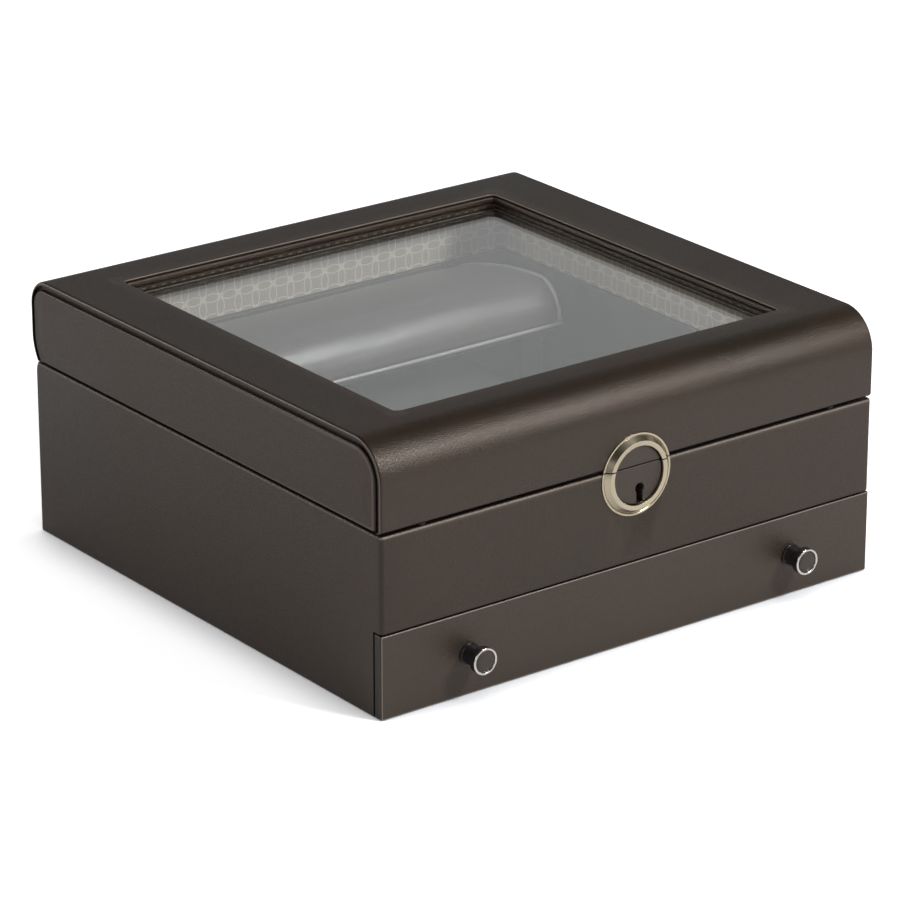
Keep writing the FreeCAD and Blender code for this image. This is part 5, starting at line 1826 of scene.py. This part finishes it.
@dataclass
class WatchCushion:
    """Padded bar that watches are strapped round, with piping at its ends and lower edges."""

    shoulder: float = 15.0
    tail: float = 1.6
    tail_share: float = 0.45
    bulge: float = 2.3
    crown: float = 0.7
    end_round: float = 2.2
    end_length: float = 2.4
    piping_r: float = 0.85
    piping_in: float = 1.0
    piping_draw: float = 0.55
    piping_lift: float = 0.5
    # Painted highlight on the piping.
    piping_highlight: float = 0.7
    voxel: float = 0.004
    pressure: float = 4.0
    frames: int = 20
    cap: float = 1.1
    end_hold: float = 30.0
    base_hold: float = 6.0

    def __post_init__(self) -> None:
        """Read the bar's box, less its crown."""
        self.low, self.high = span("watch_cushion")
        self.low[1:] += (self.crown, 0.0)
        self.high[1:] -= (self.crown, self.crown)

    def build(self) -> None:
        """Make the pad, puff it by cloth pressure and add its piping."""
        half = self.high[0]
        along = np.concatenate([
            half - self.end_length * np.linspace(0.0, 1.0, 5) ** 1.5, half * np.linspace(0.9, 0.0, 10)])
        grid = self._sections(np.concatenate([-along, along[-2::-1]]))
        piece = Sheet().grid(grid, wrap=True).cap(grid[0]).cap(grid[-1]).object("watch_pad", 60.0)
        self._puff(piece)
        settle(piece, "case", "cushion_cover", ["watch_cushion"])
        self._add_piping(half)

    def _section(self, swell: np.ndarray) -> np.ndarray:
        """Cross-section at each swell.

        An oval front quarter rises to the shoulder, a gently bulging slope falls to the back, an
        oval quarter closes it there, and the underside is flat.

        Args:
            swell: How far each section stands out from the plain form.

        Returns:
            Array of shape (sections, points, 2) of y and z.
        """
        depth = self.high[1] - self.low[1]
        height = self.high[2] - self.low[2]
        back_height = self.tail_share * height
        rise = np.radians(np.linspace(0.0, 90.0, 15))[:-1]
        fall = np.radians(np.linspace(90.0, 0.0, 7))[1:]
        share = np.linspace(0.0, 1.0, 16)
        slope = height + (back_height - height) * share + 4 * self.bulge * share * (1 - share)
        y = np.concatenate([
            self.low[1] + self.shoulder * (1 - np.cos(rise)),
            self.low[1] + self.shoulder + (depth - self.shoulder - self.tail) * share,
            self.high[1] - self.tail * (1 - np.cos(fall)),
            np.linspace(self.high[1], self.low[1], 12)[1:-1]])
        z = np.concatenate([height * np.sin(rise), slope, back_height * np.sin(fall), np.zeros(10)])
        middle = (self.low[1] + self.high[1]) / 2
        swell = np.reshape(swell, (-1, 1))
        wide = middle + (y - middle) * (1 + 2 * swell / depth)
        return np.stack([wide, self.low[2] + z * (1 + swell / height)], axis=-1)

    def _sections(self, x: np.ndarray) -> np.ndarray:
        """Sections along the bar: the crown falls off with x squared, and the ends draw in on an oval.

        Args:
            x: Place of each section.

        Returns:
            Array of shape (sections, points, 3).
        """
        half = self.high[0]
        into_end = np.clip((np.abs(x) - half + self.end_length) / self.end_length, 0.0, 1.0)
        draw = self.end_round * (1 - np.sqrt(1 - into_end ** 2))
        return lifted(self._section(self.crown * (1 - (x / half) ** 2) - draw), x, 0)

    def _puff(self, piece: bpy.types.Object) -> None:
        """Blow the pad up as cloth, keep each point near where it was, and smooth it once.

        A point moves by the simulated step cut to the cap, times a weight that fades to nothing
        towards the ends and the underside, where the cover is held.

        Args:
            piece: The pad's object.
        """
        remesh = piece.modifiers.new("remesh", "REMESH")
        remesh.mode = "VOXEL"
        remesh.voxel_size = self.voxel
        rest = self._baked(piece)
        cloth = piece.modifiers.new("cloth", "CLOTH")
        cloth.settings.use_pressure = True
        cloth.settings.uniform_pressure_force = self.pressure
        cloth.settings.effector_weights.gravity = 0.0
        cloth.settings.quality = 5
        scene = bpy.context.scene
        for number in range(1, self.frames + 1):
            scene.frame_set(number)
        step = self._read(piece) - rest
        piece.modifiers.clear()
        scene.frame_set(1)
        size = np.linalg.norm(step, axis=1, keepdims=True)
        step *= np.minimum(1.0, self.cap * MM / np.maximum(size, 1e-9))
        from_end = np.clip((self.high[0] * MM - np.abs(rest[:, 0:1])) / (self.end_hold * MM), 0.0, 1.0)
        from_base = np.clip((rest[:, 2:3] - self.low[2] * MM) / (self.base_hold * MM), 0.0, 1.0)
        points = rest + step * from_end * from_base
        piece.data.vertices.foreach_set("co", points.astype(np.float32).ravel())
        piece.data.update()
        smooth = piece.modifiers.new("subdivision", "SUBSURF")
        smooth.levels = smooth.render_levels = 1

    def _baked(self, piece: bpy.types.Object) -> np.ndarray:
        """Apply the piece's modifiers.

        Args:
            piece: The object.

        Returns:
            Its points in metres.
        """
        graph = bpy.context.evaluated_depsgraph_get()
        mesh = bpy.data.meshes.new_from_object(piece.evaluated_get(graph))
        piece.modifiers.clear()
        piece.data = mesh
        mesh.polygons.foreach_set("use_smooth", np.ones(len(mesh.polygons), bool))
        return self._read(piece)

    @staticmethod
    def _read(piece: bpy.types.Object) -> np.ndarray:
        """Points of the piece as it is evaluated now.

        Args:
            piece: The object.

        Returns:
            The points in metres.
        """
        graph = bpy.context.evaluated_depsgraph_get()
        shown = piece.evaluated_get(graph).data
        points = np.empty(len(shown.vertices) * 3, np.float32)
        shown.vertices.foreach_get("co", points)
        return points.reshape(-1, 3).astype(float)

    def _add_piping(self, half: float) -> None:
        """Piping round both ends and along both lower edges, with a painted highlight.

        Args:
            half: Half the bar's length.
        """
        sheet = Sheet()
        end = half - self.piping_in
        loop = self._section(np.array([-self.piping_draw]))
        for side in (1.0, -1.0):
            path = lifted(loop, side * end, 0)[0]
            loop_tube = tube(path, self.piping_r, (1.0, 0.0, 0.0), True)
            sheet.grid(loop_tube, wrap=True, wrap_rows=True, wear=self.piping_highlight)
        x = np.linspace(-end, end, 40)
        bow = self.crown * (1 - (x / half) ** 2)
        for y, way in ((self.low[1], -1.0), (self.high[1], 1.0)):
            path = np.stack([x, y + way * bow, np.full_like(x, self.low[2] + self.piping_lift)], axis=1)
            rings = tube(path, self.piping_r, (0.0, 0.0, 1.0), False)
            sheet.grid(rings, wrap=True, wear=self.piping_highlight).cap(rings[0]).cap(rings[-1])
        settle(sheet.object("watch_pad_piping", 60.0), "case", "cushion_cover")


# What the CAD gives


class CadDress:
    """Finishes for the CAD nodes that stay."""

    SPECIAL = {"lid_ceiling_lining": "level_lining", "glass_strips": "stitched_tape"}

    def build(self) -> None:
        """Give each node that still shows the finish of its material slot."""
        slots = {part["node"]: part["material_slot"] for part in frame["record"]["subparts"]}
        for name, piece in frame["nodes"].items():
            if piece.hide_render:
                continue
            finish = self.SPECIAL.get(name, slots[name])
            WARDROBE.dress(piece, finish)
            LOG.info("%s keeps its shape in %s", name, finish)


# Studio


@dataclass
class Softbox:
    """Soft lamp aimed at the object."""

    name: str
    place: tuple[float, float, float]
    size: Pair
    power: float
    color: Color = (1.0, 1.0, 1.0)

    def build(self) -> None:
        """Make the lamp."""
        data = bpy.data.lights.new(self.name, "AREA")
        data.shape = "RECTANGLE"
        data.size, data.size_y = self.size
        data.energy = self.power
        data.color = self.color
        lamp = bpy.data.objects.new(self.name, data)
        lamp.location = self.place
        aim = Vector((0.0, 0.0, 0.06)) - Vector(self.place)
        lamp.rotation_euler = aim.to_track_quat("-Z", "Y").to_euler()
        bpy.context.scene.collection.objects.link(lamp)


@dataclass
class Studio:
    """White floor, soft lamps, world and the camera at the photograph's angle."""

    azimuth: float = -37.1
    elevation: float = 21.3
    distance: float = 1.9326
    aim_z: float = 0.06036
    aim_right: float = 0.0006
    aim_up: float = -0.0127
    lens: float = 178.5
    clip: Pair = (0.1, 50.0)
    floor_half: float = 6.0
    floor_lift: float = 0.62
    gloss_lift: float = 0.03
    contact_reach: float = 0.04
    # Colour and range of the floor's painted contact shadow, from ambient occlusion.
    painted_shadow_color: Color = (0.66, 0.68, 0.71)
    painted_shadow_from: Pair = (0.35, 0.8)
    lift_from: Pair = (0.3, 0.85)
    fill_from: Pair = (0.35, 0.75)
    fill: Pair = (0.64, 0.13)
    card_rise: Pair = (0.20, 0.32)
    card_fall: Pair = (0.40, 0.50)
    card: float = 0.65
    card_foot: float = 0.26
    overhead: float = 0.03
    lamps: tuple[Softbox, ...] = (
        Softbox("key", (0.40, -0.90, 0.83), (0.30, 0.26), 14.5),
        Softbox("fill", (-1.40, -0.10, 0.80), (0.9, 0.7), 6.5, (1.0, 0.95, 0.91)),
        Softbox("edge", (-0.95, 1.12, 0.50), (0.5, 0.35), 5.0),
    )

    def build(self) -> None:
        """Make the whole studio."""
        self._camera()
        for lamp in self.lamps:
            lamp.build()
        self._floor()
        self._world()
        bpy.context.scene.view_settings.view_transform = "Standard"

    def _camera(self) -> None:
        """Place the camera back from the aim point along its azimuth and elevation."""
        turn, climb = math.radians(self.azimuth), math.radians(self.elevation)
        back = Vector((math.sin(turn) * math.cos(climb), -math.cos(turn) * math.cos(climb), math.sin(climb)))
        right = Vector((math.cos(turn), math.sin(turn), 0.0))
        up = back.cross(right)
        data = bpy.data.cameras.new("camera")
        data.lens = self.lens
        data.sensor_width = 36.0
        data.clip_start, data.clip_end = self.clip
        camera = bpy.data.objects.new("camera", data)
        place = Vector((0.0, 0.0, self.aim_z)) + back * self.distance
        place += right * self.aim_right + up * self.aim_up
        camera.matrix_world = Matrix.Translation(place) @ Matrix((right, up, back)).transposed().to_4x4()
        bpy.context.scene.collection.objects.link(camera)
        bpy.context.scene.camera = camera

    def _floor(self) -> None:
        """Lay a white floor that stays white where nothing shades it, with a painted contact shadow near
        the object.
        """
        half = self.floor_half / MM
        corners = [(-half, -half, 0.0), (half, -half, 0.0), (half, half, 0.0), (-half, half, 0.0)]
        floor = Sheet().cap(np.array(corners)).object("floor")
        if floor.data.polygons[0].normal.z < 0:
            floor.data.flip_normals()
        paint = Surface("floor", {"Specular IOR Level": 0.0, "Emission Color": (1.0, 1.0, 1.0, 1.0)})
        graph = paint.graph
        mottle = paint.effect(Group.MOTTLE, Patch=0.5, Contrast=1.0)["Tone"]
        white = graph.mix(mottle, (0.90, 0.91, 0.93), (0.92, 0.93, 0.945))
        near = graph.add("AmbientOcclusion", {"Distance": self.contact_reach}, samples=8).outputs["AO"]
        path = graph.add("LightPath").outputs
        mirrored = graph.math("MAXIMUM", path["Is Glossy Ray"], path["Is Transmission Ray"])
        glow = graph.math("MULTIPLY", mirrored, self.gloss_lift)
        glow = graph.between(path["Is Camera Ray"], glow, self.floor_lift)
        # Painted contact shadow: near the object the glow fades and the colour darkens with ambient
        # occlusion.
        lift = graph.math("MULTIPLY", glow, graph.ramp(near, *self.lift_from))
        graph.put(paint.shader.inputs["Emission Strength"], lift)
        shaded = graph.mix(graph.ramp(near, *self.painted_shadow_from), self.painted_shadow_color, white)
        floor.data.materials.append(paint.finish(shaded, 0.9))

    def _world(self) -> None:
        """White behind the object, a bright card low all round for gloss, and a dark ceiling."""
        world = bpy.data.worlds.new("studio")
        world.cycles.sampling_method = "NONE"
        bpy.context.scene.world = world
        world.use_nodes = True
        world.node_tree.nodes.clear()
        graph = Graph(world.node_tree)
        path = graph.add("LightPath").outputs
        way = graph.add("TexCoord").outputs["Generated"]
        climb = graph.add("SeparateXYZ", {0: way}).outputs["Z"]
        fill = graph.ramp(climb, *self.fill_from, self.fill)
        rise = graph.ramp(climb, *self.card_rise, (self.card_foot, self.card))
        fall = graph.ramp(climb, *self.card_fall, (1.0, self.overhead / self.card))
        seen = graph.math("MAXIMUM", path["Is Glossy Ray"], path["Is Transmission Ray"])
        strength = graph.between(seen, fill, graph.math("MULTIPLY", rise, fall))
        strength = graph.between(path["Is Camera Ray"], strength, 1.0)
        light = graph.add("Background", {"Color": (1.0, 1.0, 1.0, 1.0), "Strength": strength})
        graph.add("OutputWorld", {"Surface": light.outputs[0]})


def main() -> None:
    """Build every sub-assembly, dress what the CAD gives, and set up the studio."""
    logging.basicConfig(level=logging.INFO, format="%(message)s")
    for part in (CaseCover(), LidCover(), LidPads(), WindowBead(), LockPlate(), DrawerFront(), Knobs(),
                 WatchCushion(), CadDress(), Studio()):
        part.build()
        LOG.info("built %s", type(part).__name__)


if __name__ == "__main__":
    main()
